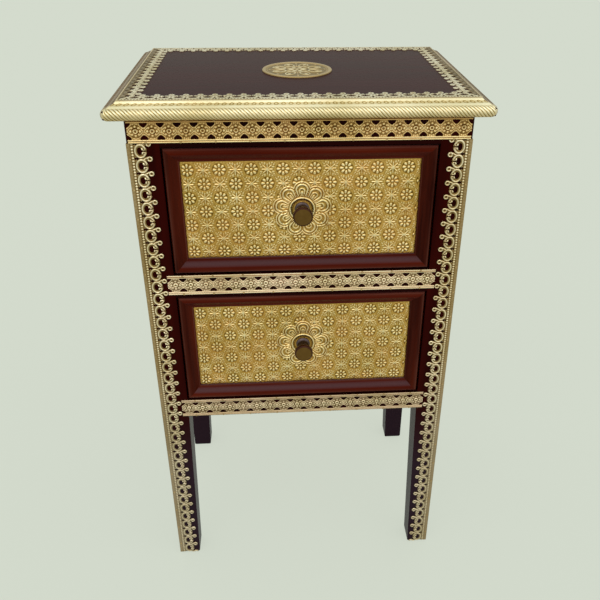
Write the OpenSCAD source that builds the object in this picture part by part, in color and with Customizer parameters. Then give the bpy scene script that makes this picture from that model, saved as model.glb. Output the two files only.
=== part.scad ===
// Bedside cabinet with two drawers, in dark wood with pierced and embossed brass.
// Millimetres. The origin is on the floor under the middle of the cabinet; the front faces -Y.

/* [Cabinet] */
// Height from the floor to the flat of the top
overall_h = 680; // [650:5:760]
// Width of the body across the front
body_w = 372; // [330:2:460]
// Depth of the body from front to back
body_d = 264; // [240:2:330]
// Height of the legs below the bottom rail
leg_h = 262; // [200:2:280]

/* [Top] */
// Thickness of the top board
top_t = 18; // [17:0.5:22]
// Overhang of the top on every side
top_over = 20; // [17:1:28]
// Radius of the rounded nose round the top
nose_r = 6.2; // [5.4:0.1:6.6]
// Distance from the outermost nose to the flat of the top
edge_w = 15.6; // [14.6:0.2:18]
// Width of the steep fillet beside the flat of the top
fillet_w = 2.1; // [1.5:0.1:3]
// Drop of the steep fillet
fillet_drop = 2; // [1.2:0.1:2.4]
// Radius of the corners of the top, seen from above
corner_r = 8; // [5:0.5:12]
// Width of the brass lip folded under the top
lip_w = 12; // [9:0.5:15]

/* [Posts, rails and panels] */
// Side of the square posts
post_w = 34; // [30:1:40]
// Side of the legs at the floor
foot_w = 28; // [24:1:29]
// Width of the eased edge at the foot
foot_ease = 1.5; // [0.5:0.5:3]
// Height of the eased edge at the foot
foot_ease_h = 3; // [1:0.5:6]
// Thickness of the front rails
rail_t = 20; // [16:1:24]
// Height of the top rail
top_rail_h = 33; // [32:1:40]
// Height of the middle rail
middle_rail_h = 30; // [28:1:36]
// Height of the bottom rail
bottom_rail_h = 27; // [27:1:36]
// Thickness of the rails at the back
back_rail_t = 20; // [14:1:24]
// Thickness of the side panels
side_t = 12; // [8:1:15]
// Set-back of the side panels from the outer face of the posts
side_inset = 6; // [2:1:8]
// Thickness of the back panel
back_t = 6; // [4:0.5:10]
// Thickness of the bottom board
bottom_t = 6; // [4:0.5:10]

/* [Drawers] */
// Gap all round a drawer front
drawer_gap = 1.5; // [1:0.1:2.5]
// Set-back of the moulding's crest from the face of the posts
drawer_set = 0.5; // [0:0.1:2]
// Width of the moulding round a drawer front
mould_w = 17; // [14:0.5:22]
// Height of the moulding's crest over the brass panel
mould_h = 8; // [6:0.5:10]
// Radius of the moulding's outer shoulder
shoulder_r = 3; // [1:0.5:4]
// Width of the moulding's flat crest, with its shoulder
crest_w = 6; // [5:0.5:8]
// Drop of the moulding's sunk inner slope
slope_drop = 5.5; // [3:0.25:5.75]
// Width of the moulding's inner lip
inner_lip_w = 1.5; // [1:0.25:3]
// Thickness of the board behind the brass panel
front_t = 10; // [8:1:14]
// Thickness of the drawer sides and back
box_side_t = 12; // [9:1:14]
// Thickness of the drawer bottom
box_bottom_t = 4; // [3:0.5:6]
// Depth of the groove that holds the drawer bottom
groove_depth = 4; // [2:0.5:6]
// Height of the drawer bottom above the lower edge of the sides
bottom_lift = 8; // [5:1:14]
// Gap between the drawer sides and the top of the opening
box_drop = 5; // [3:1:20]
// Space between the drawer's back and the back panel
box_rear = 6; // [4:1:20]
// Running gap under the drawer sides and in front of the stops
run_gap = 0.3; // [0.2:0.05:0.6]
// Sideways play between a drawer side and its guide
guide_gap = 0.5; // [0.3:0.1:1]
// Width of the runner's ledge inside its guide
ledge_w = 14; // [10:1:20]
// Height of the guide above the runner's ledge
guide_h = 20; // [10:1:30]
// Height of the stop blocks
stop_h = 15; // [8:1:25]

/* [Knobs] */
// Radius of the knob's face
knob_r = 10.8; // [9:0.2:13]
// Distance from the brass panel to the knob's face
knob_out = 25; // [20:0.5:28]
// Thickness of the knob's face disc
knob_face_t = 5; // [3:0.5:7]
// Radius of the knob's neck
knob_neck_r = 6.6; // [5:0.2:8.4]
// Radius of the knob's foot
knob_foot_r = 8.6; // [8.6:0.2:10]
// Radius of the screw's shank
screw_r = 2; // [1.5:0.1:2.5]
// Depth of the screw's hole in the knob
knob_bore_l = 12; // [8:0.5:14]

/* [Brass] */
// Thickness of the brass sheet
sheet_t = 0.8; // [0.6:0.1:1]
// Height of the embossing over the sheet
relief_t = 0.7; // [0.4:0.1:1]
// Height of the rosette bands on the rails
band_h = 26; // [25:0.5:27]
// Spacing of the rosettes
rosette_pitch = 17; // [16:0.5:20]
// Wood left bare under the frieze band
frieze_lift = 5; // [2:0.5:6]
// Bare end of the frieze at each corner of the body
frieze_short = 2; // [0.5:0.5:4]
// Spacing of the scrolls on the corner strips
scroll_pitch = 16.3; // [14:0.1:20]
// Spacing of the scrolls round the top
border_pitch = 14.6; // [13:0.1:18]
// Width of the plain edge of a corner strip
strip_flat = 3.5; // [2:0.5:5]
// Width of the fold of a corner strip round the side
strip_wrap = 8; // [4:0.5:12]
// Height of the lower end of a corner strip above the floor
strip_foot = 2; // [1:0.5:10]
// Radius of the medallion on the top
medal_r = 42; // [30:1:48]
// Width of the medallion's plain rim
medal_rim = 4; // [2:0.5:8]
// Reach of the big flower on the drawer panels
flower_r = 34; // [28:1:38]
// Number of petals of the big flower
flower_petals = 9; // [7:1:11]
// Radius of the brass tacks
tack_r = 1.2; // [0.8:0.1:1.4]
// Spacing of the tacks
tack_pitch = 34; // [25:1:60]

/* [Hidden] */
$fn = 48;

wood = [0.23, 0.06, 0.045];
wood_light = [0.42, 0.25, 0.15];
brass = [0.78, 0.65, 0.36];
bronze = [0.3, 0.22, 0.09];
steel = [0.6, 0.6, 0.6];

// Levels
body_top = overall_h - top_t;
opening_h = (body_top - leg_h - bottom_rail_h - middle_rail_h - top_rail_h) / 2;
low_z = leg_h + bottom_rail_h;
middle_z = low_z + opening_h;
up_z = middle_z + middle_rail_h;
top_rail_z = up_z + opening_h;

// Plan
front_y = -body_d / 2;
back_y = body_d / 2;
half_w = body_w / 2;
post_in_x = half_w - post_w;
post_in_y = body_d / 2 - post_w;
side_in_x = half_w - side_inset - side_t;
panel_y = back_y - back_rail_t - back_t;

// Drawers
front_w = 2 * (post_in_x - drawer_gap);
front_h = opening_h - 2 * drawer_gap;
crest_y = front_y + drawer_set;
sheet_y = crest_y + mould_h;
board_y = sheet_y + sheet_t;
box_y = board_y + front_t;
box_end = panel_y - box_rear;
box_half = front_w / 2;
box_h = opening_h - box_drop - run_gap;
guide_x = box_half + guide_gap;
ledge_x = guide_x - ledge_w;
stop_w = box_side_t;
panel_w = front_w - 2 * mould_w;
panel_h = front_h - 2 * mould_w;

// Top
top_w = body_w + 2 * top_over;
top_d = body_d + 2 * top_over;
nose_n = 14;
quirk_w = 1.8;
quirk_up = 1.2;

// Knob screw
screw_play = 0.3;
thread_play = 0.05;
head_r = 2 * screw_r;
head_t = 2.4;
screw_end = 1;

// Rosette band, measured from its middle line
pierce_side = [[3.6, 8.8], [3.3, 6.9], [2.1, 5.5], [0.7, 4.3]];
rule_in = 9.4;
rule_mid = 10.7;
outer_rule = 12;
outer_rule_w = 1.3;
ring_r = 2.6;
ring_hole = 1.1;
frieze_len = body_w - 2 * frieze_short;
frieze_z = top_rail_z + frieze_lift + band_h / 2;
middle_band_z = up_z - band_h / 2;
bottom_band_z = low_z - band_h / 2;

// Scroll strip, measured from the outer edge of its bead row
bead_w = 3;
bead_ridge = 1.6;
scroll_at = 10;
scroll_half = 6.8;
scroll_back = 124;
eye_at = 9.4;
eye_half = 2.7;
eye_long = 4.4;
eye_turn = [104, 158, 206, 258];
curl_at = 14.1;
curl_off = 2.5;
curl_r = 2.1;
notch_at = 13.6;
tongue_neck = 1.2;
tongue_at = 19.9;
tongue_r = 2.6;
gap_half = 2.1;
gap_h = 2.8;
leaf_w = 25;
leaf = [[6.3, 18.7], [4.5, 14.5], [tongue_neck, notch_at]];
strip_len = frieze_z - band_h / 2 - strip_foot;
band_gap = 0.3;
band_len = 2 * (half_w - strip_flat - tongue_at - tongue_r - band_gap);

// Big flower and medallion
petal_r = 0.275 * flower_r;
petal_at = flower_r - petal_r;
loop_w = 1.1;
loop_step = 2.4;
hub_r = 14.4;
medal_hub_r = 5;
medal_petals = 8;
medal_wave = 0.3;
tack_t = 0.7;

// A board between two corners
module board(low, high) {
    translate(low)
        cube(high - low);
}

// Repeats its children on the left and right
module both_sides() {
    children();
    mirror([1, 0, 0])
        children();
}

// Posts

// Outline of a post seen square on, with the outer face at 0 and the inner face tapered below the rail
module post_outline() {
    ease_w = foot_w + (post_w - foot_w) * foot_ease_h / leg_h;
    polygon([
        [foot_ease, 0], [foot_w - foot_ease, 0], [ease_w, foot_ease_h], [post_w, leg_h],
        [post_w, body_top], [0, body_top], [0, foot_ease_h]
    ]);
}

// A front left post: both inner faces taper, both outer faces are straight
module post() {
    color(wood)
        translate([-half_w, front_y, 0])
            intersection() {
                translate([0, post_w, 0])
                    rotate([90, 0, 0])
                        linear_extrude(post_w)
                            post_outline();
                rotate([90, 0, 90])
                    linear_extrude(post_w)
                        post_outline();
            }
}

module front_left_post() {
    post();
}

module front_right_post() {
    mirror([1, 0, 0])
        post();
}

module back_left_post() {
    mirror([0, 1, 0])
        post();
}

module back_right_post() {
    mirror([0, 1, 0])
        mirror([1, 0, 0])
            post();
}

// Panels and rails

module left_side_panel() {
    color(wood)
        board([-half_w + side_inset, -post_in_y, leg_h], [-side_in_x, post_in_y, body_top]);
}

module right_side_panel() {
    mirror([1, 0, 0])
        left_side_panel();
}

module back_panel() {
    color(wood_light)
        board([-post_in_x, panel_y, leg_h], [post_in_x, panel_y + back_t, body_top]);
}

module bottom_board() {
    color(wood_light)
        board([-ledge_x, front_y + rail_t, leg_h], [ledge_x, panel_y, leg_h + bottom_t]);
}

module front_rail(low, high) {
    color(wood)
        board([-post_in_x, front_y, low], [post_in_x, front_y + rail_t, high]);
}

module top_rail() {
    front_rail(top_rail_z, body_top);
}

module middle_rail() {
    front_rail(middle_z, up_z);
}

module bottom_rail() {
    front_rail(leg_h, low_z);
}

module back_rail(low, high) {
    color(wood)
        board([-post_in_x, back_y - back_rail_t, low], [post_in_x, back_y, high]);
}

module back_top_rail() {
    back_rail(top_rail_z, body_top);
}

module back_bottom_rail() {
    back_rail(leg_h, low_z);
}

// Runners, kickers and stops

// A strip under or over a drawer side, notched round both posts and fixed to the side panel
module runner_strip(low, high) {
    translate([0, 0, low])
        linear_extrude(high - low)
            polygon([
                [ledge_x, front_y + rail_t], [post_in_x, front_y + rail_t], [post_in_x, -post_in_y],
                [side_in_x, -post_in_y], [side_in_x, post_in_y], [post_in_x, post_in_y],
                [post_in_x, panel_y], [ledge_x, panel_y]
            ]);
}

// A runner with the guide that keeps the drawer square
module runner(low, high) {
    color(wood_light)
        union() {
            runner_strip(low, high);
            board([guide_x, -post_in_y, high], [side_in_x, post_in_y, high + guide_h]);
        }
}

module upper_left_runner() {
    mirror([1, 0, 0])
        runner(middle_z, up_z);
}

module upper_right_runner() {
    runner(middle_z, up_z);
}

module lower_left_runner() {
    mirror([1, 0, 0])
        runner(leg_h, low_z);
}

module lower_right_runner() {
    runner(leg_h, low_z);
}

module right_kicker() {
    color(wood_light)
        runner_strip(top_rail_z, body_top);
}

module left_kicker() {
    mirror([1, 0, 0])
        right_kicker();
}

// Two blocks on the runners that stop the drawer flush with the posts
module stops(z) {
    color(wood_light)
        both_sides()
            board([box_half - stop_w, box_end + run_gap, z], [box_half, panel_y, z + stop_h]);
}

module upper_stops() {
    stops(up_z);
}

module lower_stops() {
    stops(low_z);
}

// Drawers, each drawn for an opening whose lower edge is at z

module front_board(z) {
    middle = z + opening_h / 2;
    color(wood)
        difference() {
            board([-front_w / 2, board_y, z + drawer_gap], [front_w / 2, box_y, z + drawer_gap + front_h]);
            translate([0, box_y + 1, middle])
                rotate([90, 0, 0])
                    cylinder(r = screw_r + screw_play, h = front_t + 2);
        }
}

// Section of the moulding: across it from the outer edge, and back from its crest
function mould_section() = concat(
    [[0, mould_h + sheet_t]],
    [for (a = [0 : 22.5 : 90]) [shoulder_r * (1 - cos(a)), shoulder_r * (1 - sin(a))]],
    [for (t = [0 : 0.125 : 1]) [
        crest_w + t * (mould_w - inner_lip_w - crest_w),
        slope_drop * t * t * (3 - 2 * t)
    ]],
    [[mould_w, slope_drop], [mould_w, mould_h + sheet_t]]
);

// One mitred length of moulding along the lower edge of a frame of the given size
module mould_length(along, across) {
    color(wood)
        translate([0, crest_y, -across / 2])
            intersection() {
                rotate([0, -90, 0])
                    linear_extrude(along, center = true)
                        polygon(mould_section());
                translate([0, mould_h + sheet_t + 1, 0])
                    rotate([90, 0, 0])
                        linear_extrude(mould_h + sheet_t + 2)
                            polygon([
                                [-along / 2, 0], [along / 2, 0],
                                [along / 2 - mould_w, mould_w], [mould_w - along / 2, mould_w]
                            ]);
            }
}

// A length turned to its side of the frame: 0 bottom, 90 left, 180 top, 270 right
module mould(z, turn) {
    level = turn % 180 == 0;
    translate([0, 0, z + opening_h / 2])
        rotate([0, turn, 0])
            mould_length(level ? front_w : front_h, level ? front_h : front_w);
}

// Outlines of the big flower: double loops round each petal and a ring round the knob
module flower_loops() {
    difference() {
        for (i = [0 : flower_petals - 1])
            rotate(90 + 360 * i / flower_petals)
                translate([petal_at, 0])
                    circle(petal_r);
        for (i = [0 : flower_petals - 1])
            rotate(90 + 360 * i / flower_petals)
                translate([petal_at, 0])
                    circle(petal_r - loop_w);
        circle(hub_r + loop_step);
    }
    for (i = [0 : flower_petals - 1])
        rotate(90 + 360 * i / flower_petals)
            translate([petal_at, 0])
                difference() {
                    circle(petal_r - loop_step);
                    circle(petal_r - loop_step - loop_w);
                }
    difference() {
        circle(hub_r);
        circle(hub_r - loop_w);
    }
}

module brass_panel(z) {
    middle = z + opening_h / 2;
    color(brass)
        translate([0, board_y, middle])
            rotate([90, 0, 0])
                union() {
                    linear_extrude(sheet_t)
                        difference() {
                            square([panel_w, panel_h], center = true);
                            circle(screw_r + screw_play);
                        }
                    translate([0, 0, sheet_t])
                        linear_extrude(relief_t)
                            intersection() {
                                flower_loops();
                                square([panel_w, panel_h], center = true);
                            }
                }
}

module box_side(z) {
    floor_z = z + run_gap;
    inner_x = box_half - box_side_t;
    color(wood_light)
        difference() {
            board([inner_x, box_y, floor_z], [box_half, box_end, floor_z + box_h]);
            board(
                [inner_x - 1, box_y - 1, floor_z + bottom_lift],
                [inner_x + groove_depth, box_end + 1, floor_z + bottom_lift + box_bottom_t]
            );
        }
}

module box_back(z) {
    floor_z = z + run_gap;
    inner_x = box_half - box_side_t;
    color(wood_light)
        board(
            [-inner_x, box_end - box_side_t, floor_z + bottom_lift + box_bottom_t],
            [inner_x, box_end, floor_z + box_h]
        );
}

module box_bottom(z) {
    floor_z = z + run_gap + bottom_lift;
    reach = box_half - box_side_t + groove_depth;
    color(wood_light)
        board([-reach, box_y, floor_z], [reach, box_end, floor_z + box_bottom_t]);
}

// A turned knob: foot, waisted neck and a flat face disc, with a blind hole for its screw
module knob(z) {
    flare = (knob_r - knob_neck_r) * 0.8;
    bore_r = screw_r + thread_play;
    color(bronze)
        translate([0, sheet_y, z + opening_h / 2])
            rotate([90, 0, 0])
                rotate_extrude()
                    polygon([
                        [bore_r, 0], [knob_foot_r, 0], [knob_foot_r, 1.4], [knob_foot_r - 1, 2.2],
                        [knob_neck_r, 3.6], [knob_neck_r, knob_out - knob_face_t - flare],
                        [knob_r, knob_out - knob_face_t], [knob_r, knob_out - 0.8],
                        [knob_r - 0.8, knob_out], [0, knob_out], [0, knob_bore_l], [bore_r, knob_bore_l]
                    ]);
}

module knob_screw(z) {
    color(steel)
        translate([0, box_y, z + opening_h / 2])
            rotate([90, 0, 0])
                union() {
                    translate([0, 0, -head_t])
                        cylinder(r = head_r, h = head_t);
                    cylinder(r = screw_r, h = front_t + sheet_t + knob_bore_l - screw_end);
                }
}

// Top

// Edge of the top from its underside to its flat: the distance in from the outermost nose, and the height
function edge_points(cover) = concat(
    [[lip_w, sheet_t - cover]],
    [for (i = [0 : nose_n]) [
        nose_r - (nose_r - sheet_t + cover) * sin(180 * i / nose_n),
        nose_r - (nose_r - sheet_t + cover) * cos(180 * i / nose_n)
    ]],
    [
        [nose_r + quirk_w, 2 * nose_r + quirk_up - sheet_t + cover],
        [edge_w - fillet_w, top_t - fillet_drop - sheet_t + cover],
        [edge_w, top_t - sheet_t + cover]
    ]
);

// Whole section of the top across a given width
module top_section(width, cover) {
    edge = edge_points(cover);
    polygon(concat(
        [[lip_w - width / 2, 0]],
        [for (p = edge) [p[0] - width / 2, p[1]]],
        [[edge_w - width / 2, top_t], [width / 2 - edge_w, top_t]],
        [for (i = [len(edge) - 1 : -1 : 0]) [width / 2 - edge[i][0], edge[i][1]]],
        [[width / 2 - lip_w, 0]]
    ));
}

// The top with its moulded edge, in wood alone (cover 0) or with the brass over it (cover of one sheet)
module top_solid(cover) {
    inset = sheet_t - cover;
    translate([0, 0, body_top])
        intersection() {
            rotate([90, 0, 0])
                linear_extrude(top_d, center = true)
                    top_section(top_w, cover);
            rotate([90, 0, 90])
                linear_extrude(top_w, center = true)
                    top_section(top_d, cover);
            translate([0, 0, -1])
                linear_extrude(top_t + 2)
                    round_rectangle(top_w - 2 * inset, top_d - 2 * inset, corner_r - inset);
        }
}

module round_rectangle(width, depth, radius) {
    square([width - 2 * radius, depth], center = true);
    square([width, depth - 2 * radius], center = true);
    for (x = [-1, 1], y = [-1, 1])
        translate([x * (width / 2 - radius), y * (depth / 2 - radius)])
            circle(radius);
}

module top_board() {
    color(wood)
        top_solid(0);
}

// The quarter of the brass edging that lies on one side, cut at the mitres
module top_edge() {
    color(brass)
        intersection() {
            difference() {
                top_solid(sheet_t);
                top_solid(0);
            }
            translate([0, 0, body_top - 1])
                linear_extrude(top_t + 2)
                    children();
        }
}

module front_top_edge() {
    top_edge()
        polygon([
            [-top_w / 2, -top_d / 2], [top_w / 2, -top_d / 2],
            [top_w / 2 - top_d / 2, 0], [top_d / 2 - top_w / 2, 0]
        ]);
}

module back_top_edge() {
    mirror([0, 1, 0])
        front_top_edge();
}

module left_top_edge() {
    top_edge()
        polygon([
            [-top_w / 2, -top_d / 2], [top_d / 2 - top_w / 2, 0], [-top_w / 2, top_d / 2]
        ]);
}

module right_top_edge() {
    mirror([1, 0, 0])
        left_top_edge();
}

// Rosette bands

// Pairs of stepped openings between the rosettes, with their bases on the rules
module piercings(length, count) {
    for (i = [0 : count], side = [-1, 1])
        translate([length * i / count - length / 2, 0])
            polygon([
                for (p = pierce_side) [p[0], side * p[1]],
                for (i = [3 : -1 : 0]) [-pierce_side[i][0], side * pierce_side[i][1]]
            ]);
}

// The two rules along each edge
module rules(length) {
    for (side = [-1, 1]) {
        translate([0, side * (rule_in + rule_mid) / 2])
            square([length, rule_mid - rule_in], center = true);
        translate([0, side * outer_rule])
            square([length, outer_rule_w], center = true);
    }
}

// The ring in the middle of each rosette
module rings(length, count) {
    for (i = [0 : count - 1])
        translate([length * (i + 0.5) / count - length / 2, 0])
            difference() {
                circle(ring_r);
                circle(ring_hole);
            }
}

// A rosette band on a rail, with its middle line at z
module rosette_band(length, z) {
    count = floor(length / rosette_pitch);
    color(brass)
        translate([0, front_y, z])
            rotate([90, 0, 0])
                union() {
                    linear_extrude(sheet_t)
                        difference() {
                            square([length, band_h], center = true);
                            piercings(length, count);
                        }
                    translate([0, 0, sheet_t])
                        linear_extrude(relief_t) {
                            rules(length);
                            rings(length, count);
                        }
                }
}

module frieze_band() {
    rosette_band(frieze_len, frieze_z);
}

module middle_band() {
    rosette_band(band_len, middle_band_z);
}

module bottom_band() {
    rosette_band(band_len, bottom_band_z);
}

// Scroll strips, drawn along u with their outer edge on the u axis

// Points of an arc
function arc(middle, radius, from, to, steps) = [
    for (i = [0 : steps])
        let (a = from + (to - from) * i / steps) middle + radius * [cos(a), sin(a)]
];

// Left half of one scroll: from the tip of its tongue over the curl and into the eye, for half a pitch h
function half_scroll(h) = concat(
    arc([-h, tongue_at], tongue_r, 90, 0, 2),
    [[tongue_neck - h, notch_at], [h * cos(scroll_back), scroll_at + scroll_half * sin(scroll_back)]],
    arc([-curl_off, curl_at], curl_r, 70, -20, 2),
    [for (a = eye_turn) [eye_long * cos(a), eye_at + eye_half * sin(a)]]
);

// Both halves, without the last tongue's tip
function whole_scroll(h) = let (left = half_scroll(h))
    concat(left, [for (i = [len(left) - 1 : -1 : 1]) [-left[i][0], left[i][1]]]);

// The open edge of a row of scrolls from u = start to u = end
function scroll_row(start, end, count) = let (h = (end - start) / count / 2) concat(
    [for (i = [0 : count - 1], p = whole_scroll(h)) [start + h * (2 * i + 1) + p[0], p[1]]],
    [[end, tongue_at + tongue_r]]
);

// The small triangles left open between the scrolls, above the bead row
module scroll_gaps(start, end, count) {
    for (i = [1 : count - 1])
        translate([start + (end - start) * i / count, bead_w])
            polygon([[-gap_half, 0], [gap_half, 0], [0, gap_h]]);
}

// The strip on the right front corner, its scrolls pointing to the middle of the front
module right_corner_strip() {
    count = floor(strip_len / scroll_pitch);
    edge = strip_flat + sheet_t;
    color(brass)
        translate([half_w + sheet_t, front_y, strip_foot])
            rotate([90, 0, 0])
                rotate([0, 0, 90])
                    union() {
                        translate([0, edge, 0])
                            linear_extrude(sheet_t)
                                difference() {
                                    polygon(concat(
                                        [[strip_len, -edge], [0, -edge]],
                                        scroll_row(0, strip_len, count)
                                    ));
                                    scroll_gaps(0, strip_len, count);
                                }
                        translate([0, edge, sheet_t])
                            cube([strip_len, bead_ridge, relief_t]);
                        translate([0, 0, -strip_wrap])
                            cube([strip_len, sheet_t, strip_wrap]);
                    }
}

module left_corner_strip() {
    mirror([1, 0, 0])
        right_corner_strip();
}

// The open edge of one side of the border, from the first corner's leaf to the last tongue
function border_edge(along) = let (count = floor((along - 2 * leaf_w) / border_pitch)) concat(
    [for (p = leaf) [leaf_w - p[0], p[1]]],
    scroll_row(leaf_w, along - leaf_w, count),
    [for (i = [len(leaf) - 1 : -1 : 1]) [along - leaf_w + leaf[i][0], leaf[i][1]]]
);

// The same side placed in the plan of the top, turned by quarter turns
function placed_edge(along, across, turn) = [
    for (p = border_edge(along))
        let (x = p[0] - along / 2, y = p[1] - across / 2)
            [x * cos(turn) - y * sin(turn), x * sin(turn) + y * cos(turn)]
];

module border_gaps(along, across) {
    count = floor((along - 2 * leaf_w) / border_pitch);
    for (turn = [0, 180])
        rotate(turn)
            translate([-along / 2, -across / 2])
                scroll_gaps(leaf_w, along - leaf_w, count);
}

// The border on the flat of the top, with its scrolls pointing inwards
module top_border() {
    width = top_w - 2 * edge_w;
    depth = top_d - 2 * edge_w;
    inner = concat(
        placed_edge(width, depth, 0), placed_edge(depth, width, 90),
        placed_edge(width, depth, 180), placed_edge(depth, width, 270)
    );
    outer = [for (p = [[-1, -1], [1, -1], [1, 1], [-1, 1]]) [p[0] * width / 2, p[1] * depth / 2]];
    color(brass)
        translate([0, 0, overall_h])
            union() {
                linear_extrude(sheet_t)
                    difference() {
                        polygon(concat(outer, inner), [
                            [for (i = [0 : 3]) i],
                            [for (i = [0 : len(inner) - 1]) i + 4]
                        ]);
                        border_gaps(width, depth);
                        rotate(90)
                            border_gaps(depth, width);
                    }
                translate([0, 0, sheet_t])
                    linear_extrude(relief_t)
                        difference() {
                            square([width, depth], center = true);
                            square([width - 2 * bead_ridge, depth - 2 * bead_ridge], center = true);
                        }
            }
}

// A disc with a plain raised rim round a flower of eight petals
module medallion() {
    flower_out = medal_r - 2 * medal_rim;
    flower = [for (a = [0 : 5 : 355])
        flower_out * (1 - medal_wave + medal_wave * cos(medal_petals * a)) * [cos(a), sin(a)]];
    color(brass)
        translate([0, 0, overall_h])
            union() {
                cylinder(r = medal_r, h = sheet_t);
                translate([0, 0, sheet_t])
                    linear_extrude(relief_t) {
                        difference() {
                            circle(medal_r);
                            circle(medal_r - medal_rim);
                        }
                        difference() {
                            polygon(flower);
                            circle(medal_hub_r);
                        }
                    }
            }
}

// Tacks

// A domed tack head, pointing out of the front
module tack() {
    rotate([90, 0, 0])
        rotate_extrude($fn = 24)
            polygon(concat([[0, 0]], [for (a = [0 : 30 : 90]) [tack_r * cos(a), tack_t * sin(a)]]));
}

// Tacks in the outer rules of a band
module band_tacks(length, z) {
    count = floor(length / tack_pitch);
    face_y = front_y - sheet_t - relief_t;
    for (i = [0 : count - 1], side = [-1, 1])
        translate([length * (i + 0.5) / count - length / 2, face_y, z + side * outer_rule])
            tack();
}

// Tacks in the plain edges of the corner strips
module strip_tacks() {
    count = floor(strip_len / tack_pitch);
    face_y = front_y - sheet_t;
    for (i = [0 : count - 1])
        both_sides()
            translate([half_w - strip_flat / 2, face_y, strip_foot + strip_len * (i + 0.5) / count])
                tack();
}

module brass_tacks() {
    color(brass) {
        strip_tacks();
        band_tacks(frieze_len, frieze_z);
        band_tacks(band_len, middle_band_z);
        band_tacks(band_len, bottom_band_z);
    }
}

module upper_front_board() {
    front_board(up_z);
}

module upper_mould_bottom() {
    mould(up_z, 0);
}

module upper_mould_left() {
    mould(up_z, 90);
}

module upper_mould_top() {
    mould(up_z, 180);
}

module upper_mould_right() {
    mould(up_z, 270);
}

module upper_brass_panel() {
    brass_panel(up_z);
}

module upper_box_right() {
    box_side(up_z);
}

module upper_box_left() {
    mirror([1, 0, 0])
        box_side(up_z);
}

module upper_box_back() {
    box_back(up_z);
}

module upper_box_bottom() {
    box_bottom(up_z);
}

module upper_knob() {
    knob(up_z);
}

module upper_knob_screw() {
    knob_screw(up_z);
}

module lower_front_board() {
    front_board(low_z);
}

module lower_mould_bottom() {
    mould(low_z, 0);
}

module lower_mould_left() {
    mould(low_z, 90);
}

module lower_mould_top() {
    mould(low_z, 180);
}

module lower_mould_right() {
    mould(low_z, 270);
}

module lower_brass_panel() {
    brass_panel(low_z);
}

module lower_box_right() {
    box_side(low_z);
}

module lower_box_left() {
    mirror([1, 0, 0])
        box_side(low_z);
}

module lower_box_back() {
    box_back(low_z);
}

module lower_box_bottom() {
    box_bottom(low_z);
}

module lower_knob() {
    knob(low_z);
}

module lower_knob_screw() {
    knob_screw(low_z);
}

top_board();
front_left_post();
front_right_post();
back_left_post();
back_right_post();
left_side_panel();
right_side_panel();
back_panel();
bottom_board();
top_rail();
middle_rail();
bottom_rail();
back_top_rail();
back_bottom_rail();
upper_left_runner();
upper_right_runner();
lower_left_runner();
lower_right_runner();
left_kicker();
right_kicker();
upper_stops();
lower_stops();
upper_front_board();
upper_mould_top();
upper_mould_bottom();
upper_mould_left();
upper_mould_right();
upper_brass_panel();
upper_box_left();
upper_box_right();
upper_box_back();
upper_box_bottom();
upper_knob();
upper_knob_screw();
lower_front_board();
lower_mould_top();
lower_mould_bottom();
lower_mould_left();
lower_mould_right();
lower_brass_panel();
lower_box_left();
lower_box_right();
lower_box_back();
lower_box_bottom();
lower_knob();
lower_knob_screw();
frieze_band();
middle_band();
bottom_band();
left_corner_strip();
right_corner_strip();
front_top_edge();
back_top_edge();
left_top_edge();
right_top_edge();
top_border();
medallion();
brass_tacks();
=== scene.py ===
# %% [markdown]
# # Dressing a small brass-mounted cabinet
# The cabinet is a dark wooden box on four legs, with two drawers and a great deal of thin brass nailed
# over it. The CAD model already has every board, runner, joint and cut-out.
# This lesson gives it its looks: embossing on each brass sheet, polish and grain on the wood, and plain
# studio light. Lengths in the shapes below are millimetres, as a maker would measure them, and become
# metres when a mesh is made.

import bpy
import numpy as np
from mathutils import Matrix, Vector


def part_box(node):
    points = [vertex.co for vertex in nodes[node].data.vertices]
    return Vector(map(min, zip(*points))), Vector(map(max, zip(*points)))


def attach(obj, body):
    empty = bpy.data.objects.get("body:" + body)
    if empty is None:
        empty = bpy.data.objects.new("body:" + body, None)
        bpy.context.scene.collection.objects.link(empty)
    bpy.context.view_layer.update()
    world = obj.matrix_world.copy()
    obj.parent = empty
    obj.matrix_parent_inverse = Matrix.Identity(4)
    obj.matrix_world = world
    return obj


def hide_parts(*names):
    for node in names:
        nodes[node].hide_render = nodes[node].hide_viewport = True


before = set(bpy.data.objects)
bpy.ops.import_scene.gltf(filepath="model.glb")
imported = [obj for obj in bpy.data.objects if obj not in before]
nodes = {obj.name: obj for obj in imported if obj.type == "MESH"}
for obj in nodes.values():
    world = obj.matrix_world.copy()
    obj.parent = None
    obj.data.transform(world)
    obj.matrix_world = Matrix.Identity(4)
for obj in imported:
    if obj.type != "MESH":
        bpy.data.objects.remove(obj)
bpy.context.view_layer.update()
MM = 0.001


# %% [markdown]
# Everything that is placed later starts from a node of the frame, so that the looks follow the CAD model.
# A short function gives a node's corners in millimetres.

# %% Read sizes from the frame
def corners_mm(node):
    """Lowest and highest corner of a CAD node, in millimetres."""
    low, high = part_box(node)
    return np.array(low) / MM, np.array(high) / MM


top_low, top_high = corners_mm("top_board")
post_low, post_high = corners_mm("front_right_post")
BODY_FRONT = post_low[1]
BODY_SIDE = post_high[0]
TOP_UNDER = top_low[2]
TOP_FLAT = top_high[2]
print("front of the body at y =", BODY_FRONT, " side at x =", BODY_SIDE, " top at z =", TOP_FLAT)

# %% [markdown]
# The camera is the first thing to settle, because it decides what has to look right.
# Its place and its angles were worked out from the straight edges in the photograph.
# A camera looks along its own -Z axis, so its matrix is built from the right, up and backward directions.

# %% Place the camera
CAMERA_AT = (-0.03055, -0.86195, 0.8669)
YAW = np.radians(4.15)
PITCH = np.radians(29.73)
ROLL = np.radians(0.52)
SENSOR = 36.0
FRAME_PX = 600
FOCAL_PX = 697.2
AXIS_PX = (321.5, 290.1)


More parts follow.
